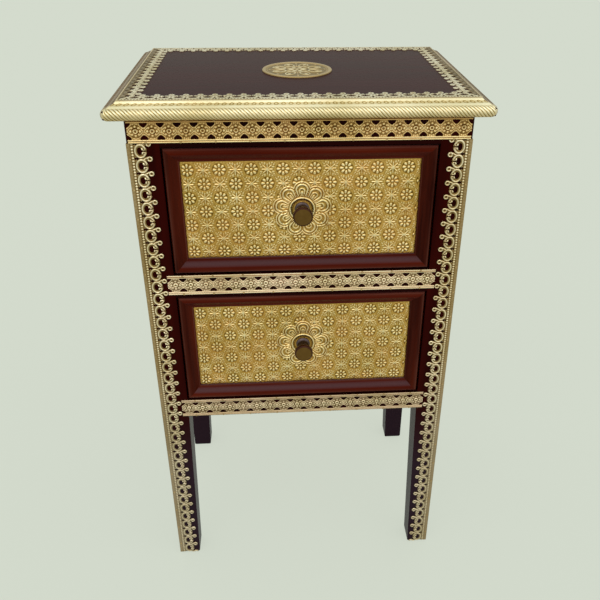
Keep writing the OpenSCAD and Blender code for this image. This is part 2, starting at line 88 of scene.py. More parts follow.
def place_matrix(right, up, back, at):
    """The matrix of an object whose own X, Y and Z axes are right, up and back, and whose origin is at."""
    return Matrix([[right[i], up[i], back[i], at[i]] for i in range(3)] + [[0, 0, 0, 1]])


ahead = np.array([np.sin(YAW) * np.cos(PITCH), np.cos(YAW) * np.cos(PITCH), -np.sin(PITCH)])
sideways = np.array([np.cos(YAW), -np.sin(YAW), 0.0])
above = np.cross(sideways, ahead)
right = np.cos(ROLL) * sideways + np.sin(ROLL) * above
up = np.cos(ROLL) * above - np.sin(ROLL) * sideways

camera_data = bpy.data.cameras.new("camera")
camera_data.sensor_width = SENSOR
camera_data.lens = FOCAL_PX * SENSOR / FRAME_PX
camera_data.shift_x = (FRAME_PX / 2 - AXIS_PX[0]) / FRAME_PX
camera_data.shift_y = (AXIS_PX[1] - FRAME_PX / 2) / FRAME_PX
camera = bpy.data.objects.new("camera", camera_data)
camera.matrix_world = place_matrix(right, up, -ahead, CAMERA_AT)
bpy.context.collection.objects.link(camera)
bpy.context.scene.camera = camera
print("lens", round(camera_data.lens, 2), "mm")


# %% [markdown]
# Brass sheet with a worked pattern could be sculpted, or faked with a bump texture.
# Here it is real relief: a grid of points lifted by a height function, so that light and outline are right
# from all sides. First come the smallest helpers. One turns whole arrays of points and faces into a mesh,
# two number the faces of a profile that is carried along a path, and the last spaces out grid lines.

# %% Make a mesh from arrays
def add_mesh(name, points, faces, relief=None, sharp=50.0):
    """points is an (n, 3) array in millimetres, and faces a list of index arrays, each with a fixed number
    of corners. relief, if given, is stored on the points: 0 in the hollows and 1 on the raised parts.
    An edge that turns by more than sharp, in degrees, stays crisp."""
    mesh = bpy.data.meshes.new(name)
    mesh.vertices.add(len(points))
    mesh.vertices.foreach_set("co", (np.asarray(points, float) * MM).ravel())
    corner = np.concatenate([f.ravel() for f in faces])
    count = np.concatenate([np.full(len(f), f.shape[1]) for f in faces])
    first = np.concatenate([[0], np.cumsum(count)[:-1]])
    mesh.loops.add(len(corner))
    mesh.loops.foreach_set("vertex_index", corner.astype(np.int32))
    mesh.polygons.add(len(count))
    mesh.polygons.foreach_set("loop_start", first.astype(np.int32))
    mesh.polygons.foreach_set("use_smooth", np.ones(len(count), bool))
    if relief is not None:
        tone = mesh.attributes.new("relief", "FLOAT", "POINT")
        tone.data.foreach_set("value", relief.astype(np.float32))
    mesh.update(calc_edges=True)
    mesh.validate()
    mesh.set_sharp_from_angle(angle=np.radians(sharp))
    piece = bpy.data.objects.new(name, mesh)
    bpy.context.collection.objects.link(piece)
    return piece


def hoop_quads(index):
    """Quads between neighbouring rows of point numbers, where the last point of a row joins its first."""
    after = np.roll(index, -1, axis=1)
    return np.stack([index[:-1].ravel(), index[1:].ravel(), after[1:].ravel(), after[:-1].ravel()], 1)


def capped_hoops(rows, cols):
    """All faces of a closed profile of cols points at rows places along a path, with a cap at each end."""
    index = np.arange(rows * cols).reshape(rows, cols)
    return [hoop_quads(index), index[0][None, :], index[-1][::-1][None, :]]


def lines(low, high, step):
    """Evenly spaced grid lines from low to high, at most a step apart."""
    return np.linspace(low, high, int(np.ceil((high - low) / step)) + 1)


# %% [markdown]
# Old embossed brass is bright where hands and cloths have rubbed it and dark where dirt has stayed.
# That could be painted, or read from the mesh's curvature by the renderer. Here each point gets a tone
# worked out from its height, because the grid is at hand and the result is the same in every program.

# %% Tone from height
SHEET = 0.8
FLAT_TONE = 0.4
RAISED_GAIN = 0.45
SUNK_GAIN = 0.9
CREST_GAIN = 1.2


def local_mean(field, reach):
    """Mean over a square of 2 * reach + 1 grid points, as two running sums."""
    for axis in (0, 1):
        pad = [(0, 0), (0, 0)]
        pad[axis] = (reach + 1, reach)
        total = np.cumsum(np.pad(field, pad, mode="edge"), axis=axis)
        size = field.shape[axis]
        high = np.take(total, np.arange(size) + 2 * reach + 1, axis=axis)
        field = (high - np.take(total, np.arange(size), axis=axis)) / (2 * reach + 1)
    return field


def wear(lift, ground, span):
    """Tone: 0 in creases, FLAT_TONE on flat ground and 1 on crests.
    It adds the share of the height over the ground and the height over the local mean."""
    crest = (lift - local_mean(lift, 2)) / span
    share = (lift - ground) / span
    over_ground = RAISED_GAIN * np.maximum(share, 0) + SUNK_GAIN * np.minimum(share, 0)
    return np.clip(FLAT_TONE + over_ground + CREST_GAIN * crest, 0, 1)


# %% [markdown]
# An openwork sheet needs holes with clean edges, which a plain grid can't give. They could be cut with
# a Boolean, but that leaves long thin faces. So a second function says how deep inside the metal each point
# lies, negative where the sheet is cut away. Grid points close to the cut are pushed onto it, cells in the
# open are dropped, and cells with one corner outside keep a triangle.

# %% Cut an embossed sheet
SLOPE_STEP = 0.05


def pushed_to_cut(grid_u, grid_t, metal, step):
    """Moves the points within half a step of the cut onto it: against the slope of the depth, by the depth
    over that slope. Returns the new places, and the depths from before the move."""
    depth = metal(grid_u, grid_t)
    slope_u = (metal(grid_u + SLOPE_STEP, grid_t) - metal(grid_u - SLOPE_STEP, grid_t)) / (2 * SLOPE_STEP)
    slope_t = (metal(grid_u, grid_t + SLOPE_STEP) - metal(grid_u, grid_t - SLOPE_STEP)) / (2 * SLOPE_STEP)
    square = np.maximum(slope_u**2 + slope_t**2, 0.25)
    near = np.abs(depth) < 0.5 * step
    moved_u = grid_u - np.where(near, depth * slope_u / square, 0)
    moved_t = grid_t - np.where(near, depth * slope_t / square, 0)
    return moved_u, moved_t, depth


def kept_cells(index, kept, depth):
    """Quads of the cells with four kept corners, and triangles of those that lose one."""
    ring = [index[:-1, :-1], index[1:, :-1], index[1:, 1:], index[:-1, 1:]]
    ring = np.stack([c.ravel() for c in ring], 1)
    ok = kept.ravel()[ring]
    deep = depth.ravel()[ring]
    quads = ring[ok.all(1) & (deep.mean(1) > 0)]
    tris = [np.empty((0, 3), int)]
    for gone in range(4):
        stay = [(gone + 1) % 4, (gone + 2) % 4, (gone + 3) % 4]
        part = ~ok[:, gone] & ok[:, stay].all(1) & (deep[:, stay].mean(1) > 0)
        tris.append(ring[part][:, stay])
    return quads, np.concatenate(tris)


def rim_walls(quads, tris, total):
    """A quad on every edge that only one face has, down to the back, whose numbers are total higher."""
    sides = [(f, i, (i + 1) % f.shape[1]) for f in (quads, tris) for i in range(f.shape[1])]
    edges = np.concatenate([np.stack([f[:, i], f[:, j]], 1) for f, i, j in sides])
    code = edges[:, 0] * total + edges[:, 1]
    rim = edges[~np.isin(code, edges[:, 1] * total + edges[:, 0])]
    return np.stack([rim[:, 1], rim[:, 0], rim[:, 0] + total, rim[:, 1] + total], 1)


# %% [markdown]
# The rim is then joined to a flat back, so every sheet is a closed, thin solid. A Solidify modifier would
# give the back the same relief as the front, but a nailed sheet lies flat on its board.

# %% Close the sheet
OPEN_LIFT = 0.3
BACK_TONE = 0.2


def closed_sheet(u, t, height, metal=None, plain_back=False, span=1.0, wear_dirt_and_painted_light=None):
    """Surface (u, t, height(u, t)) over the grid of lines u and t, kept where metal(u, t) > 0, with walls
    down to a back at 0. Returns points (u, t, h), faces and the tone of each point. span is the height of the
    embossing, and the last argument, a function of (u, t), if given, multiplies the tone: for dirt and wear,
    and also for painted shade and painted highlights."""
    grid_u, grid_t = np.meshgrid(u, t, indexing="ij")
    step = np.median(np.abs(np.diff(t)))
    depth = np.ones_like(grid_u)
    if metal is not None:
        grid_u, grid_t, depth = pushed_to_cut(grid_u, grid_t, metal, step)
    kept = depth > -0.5 * step
    lift = height(grid_u, grid_t)
    tone = wear(np.where(kept, lift, OPEN_LIFT), SHEET, span)
    if wear_dirt_and_painted_light is not None:
        tone = np.clip(tone * wear_dirt_and_painted_light(grid_u, grid_t), 0, 1)
    front = np.stack([grid_u.ravel(), grid_t.ravel(), lift.ravel()], 1)
    total = len(front)
    index = np.arange(total).reshape(grid_u.shape)
    quads, tris = kept_cells(index, kept, depth)
    faces = [quads, tris, rim_walls(quads, tris, total)]
    if plain_back:
        order = np.concatenate([index[:-1, 0], index[-1, :-1], index[1:, -1][::-1], index[0, 1:][::-1]])
        faces.append(order[::-1][None, :] + total)
    else:
        faces += [quads[:, ::-1] + total, tris[:, ::-1] + total]
    points = np.concatenate([front, front * (1, 1, 0)])
    tone = np.concatenate([tone.ravel(), np.full(total, BACK_TONE)])
    used = np.unique(np.concatenate([f.ravel() for f in faces]))
    new = np.zeros(len(points), int)
    new[used] = np.arange(len(used))
    return points[used], [new[f] for f in faces if len(f)], tone[used]


# %% [markdown]
# Embossing tools leave only a few kinds of mark: round bosses, ridges and rings.
# Two small functions of distance make them all, and the largest mark counts where two cross,
# so that crossings don't pile up.

# %% Marks that a punch leaves
EIGHTH = np.pi / 4


def boss(distance, radius):
    """A dome: the square root of one minus the squared share of the radius, and 0 outside it."""
    return np.sqrt(np.clip(1 - (distance / radius) ** 2, 0, 1))


def ridge(distance, half):
    """A rounded ridge: a raised cosine that falls to 0 at half its width either side."""
    share = np.clip(np.abs(distance) / half, 0, 1)
    return 0.5 + 0.5 * np.cos(np.pi * share)


def ramp(value, width):
    """0 for a negative value, 1 from width on, and a straight slope between."""
    return np.clip(value / width, 0, 1)


def highest(*marks):
    """The largest of several marks at each point."""
    return np.maximum.reduce(marks)


def folded(angle, sector):
    """The angle from the nearest of evenly spaced spokes, one at angle 0 and the next a sector further."""
    return np.mod(angle + sector / 2, sector) - sector / 2


def hammered(u, t, size=7.0):
    """A gentle uneven surface: four sine waves in different directions, multiplied in pairs."""
    wide = np.sin((u * 0.93 + t * 0.37) / size * 6.3 + 0.6) * np.sin((t * 0.88 - u * 0.41) / size * 5.1 + 2.1)
    fine = np.sin((u * 0.31 - t * 0.97) / size * 11.7 + 4.0) * np.sin((u * 0.8 + t * 0.66) / size * 9.2)
    return 0.6 * wide + 0.4 * fine


# %% [markdown]
# The corner strips and the border on the top share one pattern, a running row of C-shaped scrolls.
# Each scroll has an open eye, a mouth with two curled ends, and a looped tongue between it and the next.
# It could be drawn as a curve and filled, but distances to a few ovals and circles give the cut-outs and
# the embossing at once. The outlines repeat the CAD model's cut-outs, and the wires along them are new.

# %% One running scroll
BEAD_ROW = 3.1
BEAD_PITCH = 3.2
SCROLL_AT = 10.0
SCROLL_HALF = 6.8
EYE_AT = 9.4
MOUTH = 0.45
# The pairs are (along the row, across it).
EYE_HALF = (4.3, 2.9)
CURL_AT = (2.65, 13.9)
LOOP_AT = (-0.5, 19.2)
BALL_AT = (2.15, 11.9)
ROUND = 2.3
HOOK = 1.45
NECK_AT = 12.0
WIRE_IN = 1.35
REACH = 22.5


def scroll_axes(along, y, pitch):
    """Distance along from the nearest scroll's middle and from the nearest tongue's, and the distance
    outside the scroll's oval: its own measure of a point, less 1, times that measure over its slope."""
    half = pitch / 2
    x = np.mod(along + half, pitch) - half
    tongue_x = np.mod(along, pitch) - half
    wide = half + 0.05
    measure = np.hypot(x / wide, (y - SCROLL_AT) / SCROLL_HALF)
    slope = np.hypot(x / wide**2, (y - SCROLL_AT) / SCROLL_HALF**2)
    return x, tongue_x, (measure - 1) * measure / np.maximum(slope, 0.02)


def scroll_metal(along, y, pitch):
    """How deep a point lies in the metal: the largest depth in a ring with eye and mouth, the curled ends,
    the tongue, the bead row and the fill behind it, less a three-cornered gap at each tongue's foot.
    along runs from the middle of a scroll, y from the outer edge of the bead row."""
    x, tongue_x, outside = scroll_axes(along, y, pitch)
    side = np.abs(tongue_x)
    eye = (np.hypot(x / EYE_HALF[0], (y - EYE_AT) / EYE_HALF[1]) - 1) * EYE_HALF[1]
    mouth = np.maximum(np.abs(x) - MOUTH, EYE_AT - y)
    ring = np.minimum(np.minimum(-outside, eye), mouth)
    curl = np.minimum(ROUND - np.hypot(np.abs(x) - CURL_AT[0], y - CURL_AT[1]), np.abs(x) - 0.35)
    lean = np.abs(tongue_x - LOOP_AT[0] * (y - NECK_AT) / 7.0)
    neck = np.minimum(np.minimum(y - NECK_AT, LOOP_AT[1] - y), 1.1 + 0.3 * (y - NECK_AT - 0.5) - lean)
    tongue = np.maximum(ROUND + 0.95 - np.hypot(tongue_x - LOOP_AT[0], y - LOOP_AT[1]), neck)
    row = BEAD_ROW - y
    gap = np.minimum(y - BEAD_ROW, 2.9 - (y - BEAD_ROW) - side * 1.35)
    fill = np.minimum(BEAD_ROW + 2.0 - y, 4.5 - side)
    return np.minimum(highest(ring, curl, tongue, row, fill), np.maximum(-gap, row))


def scroll_work(along, y, pitch):
    """Embossed height: the largest of a wire inside the oval, a hook and a ball at each end of the mouth,
    the tongue's loop and stem, the beads, and a fine line along the outer edge. A wire is 1 high."""
    x, tongue_x, outside = scroll_axes(along, y, pitch)
    curl_d = np.hypot(np.abs(x) - CURL_AT[0], y - CURL_AT[1])
    loop_d = np.hypot(tongue_x - LOOP_AT[0], y - LOOP_AT[1])
    wire = ridge(outside + WIRE_IN, 1.6) * np.where(y > NECK_AT, ramp(np.abs(x) - 2.2, 0.8), 1)
    hook = ridge(curl_d - HOOK, 0.85) * ramp(4.1 - np.abs(x), 0.8) * (y > CURL_AT[1] - 1.6)
    ball = 1.15 * boss(np.hypot(np.abs(x) - BALL_AT[0], y - BALL_AT[1]), 1.3)
    loop = ridge(loop_d - ROUND + 0.1, 1.25) * ramp(y - 16.4, 0.6)
    lead = (tongue_x - LOOP_AT[0] - ROUND) + 0.42 * (LOOP_AT[1] - y)
    stem = 0.95 * ridge(lead * 0.92, 0.95) * (y > NECK_AT + 0.2) * (y <= LOOP_AT[1] - 0.4)
    bead_x = np.mod(along + pitch / 2, BEAD_PITCH) - BEAD_PITCH / 2
    beads = boss(np.hypot(bead_x, y - BEAD_ROW / 2), 1.25)
    edge_line = 0.4 * ridge(y - 0.15, 0.4)
    return highest(wire * (y > BEAD_ROW - 0.2), hook, ball, loop, stem, beads, edge_line)


# %% [markdown]
# The rosette band is stamped from one tool too: a ringed boss with lobes round it, crossed wires to the
# next boss, and a dark stepped opening above and below each crossing. Double rules run along both edges.
# One repeat is again a function of the distance along and across, and the band just counts it off.

# %% One rosette
OPEN_FAR = 8.8
OPEN_NEAR = 4.1
RULES = (9.9, 12.0)
BOSS_RING = 2.0
LOBE_RING = 4.9
FAN_AT = 8.3


def rosette_axes(along, across, pitch):
    """Distance along from the nearest rosette's middle and from the nearest crossing, and how deep the
    point lies in the stepped opening above or below that crossing."""
    half = pitch / 2
    x = np.mod(along + half, pitch) - half
    side = half - np.abs(x)
    y = np.abs(across)
    flank = np.minimum(4.25 - side - 0.12 * (OPEN_FAR - y), (y - OPEN_NEAR + 0.9 - side) * 0.75)
    return x, side, np.minimum(np.minimum(OPEN_FAR - y, y - OPEN_NEAR), flank)


def rosette_metal(along, across, pitch):
    """How deep a point lies in the metal: as far as it is outside the openings."""
    return -rosette_axes(along, across, pitch)[2]


def rosette_work(along, across, pitch):
    """Embossed height: the largest of a ring, eight lobes, fan tips, crossed wires with a knot, a seam
    round each opening and the rules, over a ground that sinks in the fans, in the eye, between ring and
    lobes, and between the rules."""
    x, side, opening = rosette_axes(along, across, pitch)
    y = np.abs(across)
    r = np.hypot(x, across)
    a = folded(np.arctan2(across, x), EIGHTH)
    ring = 1.15 * ridge(r - BOSS_RING, 1.15)
    lobes = 0.6 * boss(np.hypot((r * np.cos(a) - LOBE_RING) / 1.4, r * np.sin(a) / 1.2), 1.0)
    tips = 0.75 * highest(boss(np.hypot(np.abs(x) - 2.0, y - 8.0), 1.0), boss(np.hypot(x, y - 8.4), 0.9))
    knot = 0.9 * ridge(np.hypot(side, across) - 1.05, 0.75)
    wires = 0.75 * ridge((y - 0.92 * side) * 0.74, 0.7) * (side < 4.6) * (side > 1.2)
    seam = 0.55 * ridge(opening + 0.75, 0.65) * (y < OPEN_FAR + 0.1)
    rules = highest(*[0.7 * np.clip(1.8 * ridge(y - rule, 0.95), 0, 1) for rule in RULES])
    fan = -0.4 * ramp(9.0 - np.hypot(np.abs(x), y - FAN_AT), 2.0) * (y < 9.2)
    ground = fan - 0.45 * ridge(r - 3.5, 0.8) - 0.6 * boss(r, 1.1)
    return highest(ring, lobes, tips, wires, knot, seam, rules) + (ground - 0.3 * ridge(y - 10.95, 0.4))


# %% [markdown]
# The drawer fronts carry a sheet with a chequer of daisies and star squares. Both are drawn round their own
# middle, as a smith's punch is, and the chequer then repeats them.

# %% The daisy and the star
DAISY_RING = 5.0
RAY_LEVEL = 6.8
RAY_SLANTING = 7.6
BEADS_FROM = 8.0
BEAD_STEP = 2.1
LEAF_AT = (6.6, 2.7)
LEAF_HALF = (1.7, 0.85)


def daisy(x, z):
    """Eight drop-shaped petals about a round boss: a dome on a measure that narrows towards the middle."""
    r = np.hypot(x, z)
    a = folded(np.arctan2(z, x), EIGHTH)
    along = r * np.cos(a) - DAISY_RING
    petals = boss(np.hypot(along / 2.45, r * np.sin(a) / (1.45 + 0.2 * along)), 1.0)
    return highest(petals, 0.9 * boss(r, 1.6))


def leaf(far, near):
    """A long dome, with its middle at LEAF_AT and the half lengths LEAF_HALF."""
    return boss(np.hypot((far - LEAF_AT[0]) / LEAF_HALF[0], (near - LEAF_AT[1]) / LEAF_HALF[1]), 1.0)


def star(x, z):
    """Eight fine rays about a dot, little leaves between their ends, and two rows of beads out to each
    corner of the square, either side of where a slanting ray would run on."""
    r = np.hypot(x, z)
    turn = np.arctan2(z, x)
    a = folded(turn, EIGHTH)
    slanting = np.mod(np.floor((turn + EIGHTH / 2) / EIGHTH), 2) == 1
    off = r * np.sin(a)
    rays = 0.8 * ridge(off, 0.85) * ramp(np.where(slanting, RAY_SLANTING, RAY_LEVEL) - r, 1.4)
    bead = np.mod(r * np.cos(a) - BEADS_FROM, BEAD_STEP) - BEAD_STEP / 2
    beads = 0.55 * boss(np.hypot(bead, np.abs(off) - 1.35), 0.85) * (slanting & (r > BEADS_FROM - 0.6))
    leaves = 0.45 * highest(leaf(np.abs(x), np.abs(z)), leaf(np.abs(z), np.abs(x)))
    return highest(rays, leaves, beads, 0.9 * boss(r, 1.3))


# %% [markdown]
# One big flower sits round the knob. Each of its nine petals is four arches, one inside another, and all of
# them come from the distance to a point on the petal's axis.

# %% The big flower
PETALS = 9
HUB = 13.7
PETAL_AT = 23.8
PETAL_OUT = 10.6
KNOB_FOOT = 9.2
# The four arches of a petal, from the outside in: centre, radius, half width and height of each.
ARCHES = ((PETAL_AT, 9.3, 1.1, 0.8), (23.4, 6.5, 1.6, 1.0), (22.0, 3.0, 1.1, 0.7), (20.8, 0.6, 0.9, 0.6))


def arch_distance(along, off, middle, waist):
    """Distance from a point on the petal's axis, where the petal narrows to its waist at the ring."""
    narrow = waist + (1 - waist) * ramp(along - HUB, middle - HUB)
    return np.hypot(np.maximum(along - middle, 0), off / narrow)


def big_flower(x, z):
    """Nine petals of four nested arches round a double ring. Returns the height, how far inside the flower
    the point lies, and 0 under the foot of the knob, where the sheet is plain."""
    r = np.hypot(x, z)
    a = folded(np.arctan2(z, x) - np.pi / 2, 2 * np.pi / PETALS)
    along = r * np.cos(a)
    off = np.abs(r * np.sin(a))
    arches = []
    for middle, radius, wide, tall in ARCHES:
        line = arch_distance(along, off, middle, 0.5) - radius
        arches.append(tall * np.clip(1.5 * ridge(line, wide), 0, 1))
    edge = arch_distance(along, off, PETAL_AT, 0.62) - PETAL_OUT
    raised = highest(*arches) * ramp(r - HUB - 1.8, 0.6)
    petals = 1.1 * raised - 0.22 * (1 - raised)
    ring = 1.1 * np.clip(1.4 * ridge(r - HUB, 1.5), 0, 1)
    dish = -0.35 * ramp(HUB - 1.0 - r, 0.8) + 0.35 * hammered(x, z, 3.0) * (r < HUB - 1)
    plain = ramp(r - KNOB_FOOT, 0.8)
    return highest(petals * (r > HUB + 1.2), ring) + dish * plain, np.maximum(-edge, HUB + 2.2 - r), plain


# %% [markdown]
# The whole field counts off the chequer from one daisy whose place was read in the photograph,
# and gives way to the big flower in the middle and to a plain strip along the edges.

# %% The drawer's embossed field
CELL_X = 17.6
CELL_Z = 16.65
DAISY_X = 14.3
DAISY_Z = 48.6
DISC = 8.3
DISC_DEPTH = 0.4
FIELD_X = 132.5
FIELD_Z = 58.0


def drawer_field(x, z):
    """Chequer of daisies in sunk discs and of stars, replaced by the big flower where it lies."""
    column = np.floor((x - DAISY_X) / CELL_X + 0.5)
    row = np.floor((DAISY_Z - z) / CELL_Z + 0.5)
    cx = x - DAISY_X - column * CELL_X
    cz = z - DAISY_Z + row * CELL_Z
    even = np.mod(column + row, 2) == 0
    near = np.minimum(np.hypot(CELL_X - np.abs(cx), cz), np.hypot(cx, CELL_Z - np.abs(cz)))
    rim = np.where(even, np.hypot(cx, cz), near) - DISC
    stipple = 0.07 * np.sin(2.9 * x + 0.8 * z) * np.sin(3.1 * z - 0.9 * x) * (rim > 0)
    field = np.where(even, daisy(cx, cz), star(cx, cz) * (rim > -0.6)) + stipple
    field = field - DISC_DEPTH * ramp(-rim, 0.9)
    flower, cover, plain = big_flower(x, z)
    blend = np.clip(cover / 0.8 + 0.5, 0, 1)
    border = ramp(FIELD_Z - np.abs(z), 1.2) * ramp(FIELD_X - np.abs(x), 1.2)
    return (field * (1 - blend) + flower * blend) * border * np.maximum(plain, cover < 0)


# %% [markdown]
# Materials are made of nodes, and a tree of nodes takes many lines when each one is added and linked by hand.
# A few short functions add a node, set or link its inputs, and return the socket that carries the result.

# %% Helpers for nodes
def new_group(name, inputs, outputs):
    """Makes an empty shader group with named sockets: (name, kind, default)."""
    group = bpy.data.node_groups.new(name, "ShaderNodeTree")
    for label, kind, value in inputs:
        socket = group.interface.new_socket(label, in_out="INPUT", socket_type=kind)
        socket.default_value = value
    for label, kind in outputs:
        group.interface.new_socket(label, in_out="OUTPUT", socket_type=kind)
    start = group.nodes.new("NodeGroupInput")
    end = group.nodes.new("NodeGroupOutput")
    return group, start.outputs, end.inputs


def add_node(tree, kind, **settings):
    """Adds a node and sets its properties; a key such as in_2 sets the default of its third input."""
    node = tree.nodes.new(kind)
    for key, value in settings.items():
        if key.startswith("in_"):
            node.inputs[int(key[3:])].default_value = value
        else:
            setattr(node, key, value)
    return node


def feed(tree, socket, value):
    """Links a socket to an input, or sets the input to a plain value."""
    if isinstance(value, bpy.types.NodeSocket):
        tree.links.new(value, socket)
    else:
        socket.default_value = value


def mix_colour(tree, factor, first, second, blend="MIX"):
    """Mixes two colours (sockets or values) by a factor and returns the result's socket."""
    node = add_node(tree, "ShaderNodeMix", data_type="RGBA", blend_type=blend)
    for place, value in ((0, factor), (6, first), (7, second)):
        feed(tree, node.inputs[place], value)
    return node.outputs[2]


def maths(tree, operation, *values, clamp=False):
    """One Math node on sockets or numbers."""
    node = add_node(tree, "ShaderNodeMath", operation=operation, use_clamp=clamp)
    for socket, value in zip(node.inputs, values):
        feed(tree, socket, value)
    return node.outputs[0]


# %% [markdown]
# A few effects come back in both groups: noise, patches made of it, a fine bump, and how high a point lies.

# %% Noise, masks and bumps
def mask(tree, value, gain, offset):
    """gain times the value plus offset, kept between 0 and 1: it turns soft noise into patches."""
    return maths(tree, "MULTIPLY_ADD", value, gain, offset, clamp=True)


def noise(tree, place, scale, detail=2.0, rough=0.5):
    """Noise at the coordinates that place carries."""
    node = add_node(tree, "ShaderNodeTexNoise")
    for label, value in (("Vector", place), ("Scale", scale), ("Detail", detail), ("Roughness", rough)):
        feed(tree, node.inputs[label], value)
    return node.outputs["Fac"]


def bumped(tree, height, strength, distance):
    """The normal of a surface with a fine bump; distance is in metres."""
    node = add_node(tree, "ShaderNodeBump")
    for label, value in (("Height", height), ("Strength", strength), ("Distance", distance)):
        feed(tree, node.inputs[label], value)
    return node.outputs["Normal"]


def height_over(tree, place):
    """The Z of a place, in metres over the floor."""
    split = add_node(tree, "ShaderNodeSeparateXYZ")
    feed(tree, split.inputs[0], place)
    return split.outputs["Z"]


# %% [markdown]
# Brass is one metal here, but its finish is not the same everywhere: the hollows hold dirt and old lacquer,
# the raised parts are rubbed bright, stains and tarnish lie in clouds, and near the floor dust has left
# a grey film. The "relief" value kept on each point tells the material which part is high.
# The effect is a node group, because several materials use it with their own colours.

# %% A node group for aged, rubbed metal
SURFACE = [("Color", "NodeSocketColor"), ("Roughness", "NodeSocketFloat"), ("Normal", "NodeSocketVector")]
FILM_SHARE = 0.42
TARNISH = (0.8, 0.77, 0.64, 1)

aged, aged_in, aged_out = new_group(
    "aged metal",
    [
        ("Bright", "NodeSocketColor", (0.8, 0.6, 0.3, 1)),
        ("Plain", "NodeSocketColor", (0.5, 0.35, 0.15, 1)),
        ("Hollow", "NodeSocketColor", (0.3, 0.2, 0.07, 1)),
        ("Patina", "NodeSocketColor", (0.4, 0.22, 0.1, 1)),
        ("Relief", "NodeSocketFloat", 1.0),
        ("Rubbed", "NodeSocketFloat", 0.3),
        ("Dull", "NodeSocketFloat", 0.45),
        ("Film", "NodeSocketColor", (0.48, 0.41, 0.33, 1)),
        ("Low", "NodeSocketFloat", -1.0),
    ],
    SURFACE,
)
metal_place = add_node(aged, "ShaderNodeTexCoord").outputs["Object"]
clouds = mask(aged, noise(aged, metal_place, 38.0, 4.0, 0.6), 2.4, -0.85)
filled = mask(aged, aged_in["Relief"], 1 / FLAT_TONE, 0.0)
rubbed = mask(aged, aged_in["Relief"], 1.667, -0.667)
tint = mix_colour(aged, filled, aged_in["Hollow"], aged_in["Plain"])
tint = mix_colour(aged, rubbed, tint, aged_in["Bright"])
tint = mix_colour(aged, maths(aged, "MULTIPLY", clouds, 0.45), tint, aged_in["Patina"])
under = maths(aged, "SUBTRACT", aged_in["Low"], height_over(aged, metal_place))
film = maths(aged, "MULTIPLY", maths(aged, "MULTIPLY", under, 7.0, clamp=True), FILM_SHARE)
tint = mix_colour(aged, film, tint, aged_in["Film"])
tarnish = mask(aged, noise(aged, metal_place, 15.0), 3.2, -1.25)
tint = mix_colour(aged, tarnish, tint, mix_colour(aged, 1.0, tint, TARNISH, "MULTIPLY"))
feed(aged, aged_out["Color"], tint)
unrubbed = maths(aged, "MULTIPLY", maths(aged, "SUBTRACT", 1.0, rubbed), 0.7)
dullness = maths(aged, "ADD", unrubbed, maths(aged, "MULTIPLY", clouds, 0.3), clamp=True)
spread = maths(aged, "SUBTRACT", aged_in["Dull"], aged_in["Rubbed"])
rough = maths(aged, "ADD", aged_in["Rubbed"], maths(aged, "MULTIPLY", dullness, spread))
feed(aged, aged_out["Roughness"], rough)
feed(aged, aged_out["Normal"], bumped(aged, noise(aged, metal_place, 900.0, 2.0, 0.6), 0.12, 0.0003))
print("group", aged.name, "with", len(aged.nodes), "nodes")


# %% [markdown]
# Each brass finish is a material of its own, with a Principled shader and the group's colour, roughness and
# normal. A piece without the relief value would read 0 everywhere, so tacks and screws get a set level.

# %% Make a finish from a group
def new_material(name):
    """A material with a Principled shader, returned with its tree and the shader."""
    material = bpy.data.materials.new(name)
    material.use_nodes = True
    tree = material.node_tree
    return material, tree, tree.nodes["Principled BSDF"]


def relief_value(tree):
    """The tone kept on the points of a piece."""
    return add_node(tree, "ShaderNodeAttribute", attribute_name="relief").outputs["Fac"]


def use_group(tree, shader, group_tree, **values):
    """Places a group, feeds its inputs by name and leads its colour, roughness and normal to the shader."""
    group = add_node(tree, "ShaderNodeGroup", node_tree=group_tree)
    for label, value in values.items():
        socket = group.inputs[label]
        feed(tree, socket, (*value, 1) if socket.type == "RGBA" else value)
    for label, place in (("Color", "Base Color"), ("Roughness", "Roughness"), ("Normal", "Normal")):
        feed(tree, shader.inputs[place], group.outputs[label])


def brass_finish(name, bright, plain, hollow, patina, rubbed, dull, level=None, low=-1.0):
    """A worn brass: linear colours of crests, flat ground, creases and stains, and the roughness of its
    rubbed and its dull parts. Below the height low, in metres, floor dust has left a grey film."""
    material, tree, shader = new_material(name)
    relief = relief_value(tree) if level is None else level
    use_group(
        tree, shader, aged, Bright=bright, Plain=plain, Hollow=hollow, Patina=patina,
        Relief=relief, Rubbed=rubbed, Dull=dull, Low=low,
    )
    feed(tree, shader.inputs["Metallic"], 1.0)
    return material


# %% [markdown]
# The sheets don't share one tone. The panels are the yellowest, the two lower bands pinkish, the corner
# strips bright on the crests and brown between them, and the border on the top the palest, while the frieze
# is darker, partly as painted shade under the overhang of the top.
# One material could tint them all by place, but each sheet was polished by itself, so each gets its own
# four colours, compared with the photograph until the tones agreed.

# %% Brass finishes
panel_brass = brass_finish(
    "panel brass", (1.0, 0.85, 0.5), (0.745, 0.475, 0.122), (0.2, 0.11, 0.014), (0.74, 0.34, 0.09), 0.24, 0.42
)
# Darker than the band brass, partly as painted shade under the top's overhang.
frieze_shaded_brass = brass_finish(
    "frieze brass", (1.0, 0.83, 0.47), (0.74, 0.46, 0.165), (0.19, 0.1, 0.022), (0.72, 0.39, 0.17), 0.28, 0.48
)
band_brass = brass_finish(
    "band brass", (0.98, 0.91, 0.64), (0.82, 0.58, 0.36), (0.17, 0.105, 0.03), (0.85, 0.57, 0.45), 0.26, 0.45
)
low_band_brass = brass_finish(
    "low band brass", (0.98, 0.89, 0.62), (0.62, 0.435, 0.27), (0.15, 0.09, 0.03), (0.68, 0.46, 0.37),
    0.28, 0.46,
)
strip_brass = brass_finish(
    "strip brass", (1.0, 0.87, 0.61), (0.33, 0.205, 0.075), (0.11, 0.065, 0.018), (0.42, 0.25, 0.1),
    0.24, 0.44, low=0.36,
)
edge_brass = brass_finish(
    "edge brass", (1.0, 0.9, 0.66), (0.6, 0.43, 0.16), (0.05, 0.03, 0.006), (1.0, 0.78, 0.46), 0.32, 0.42
)
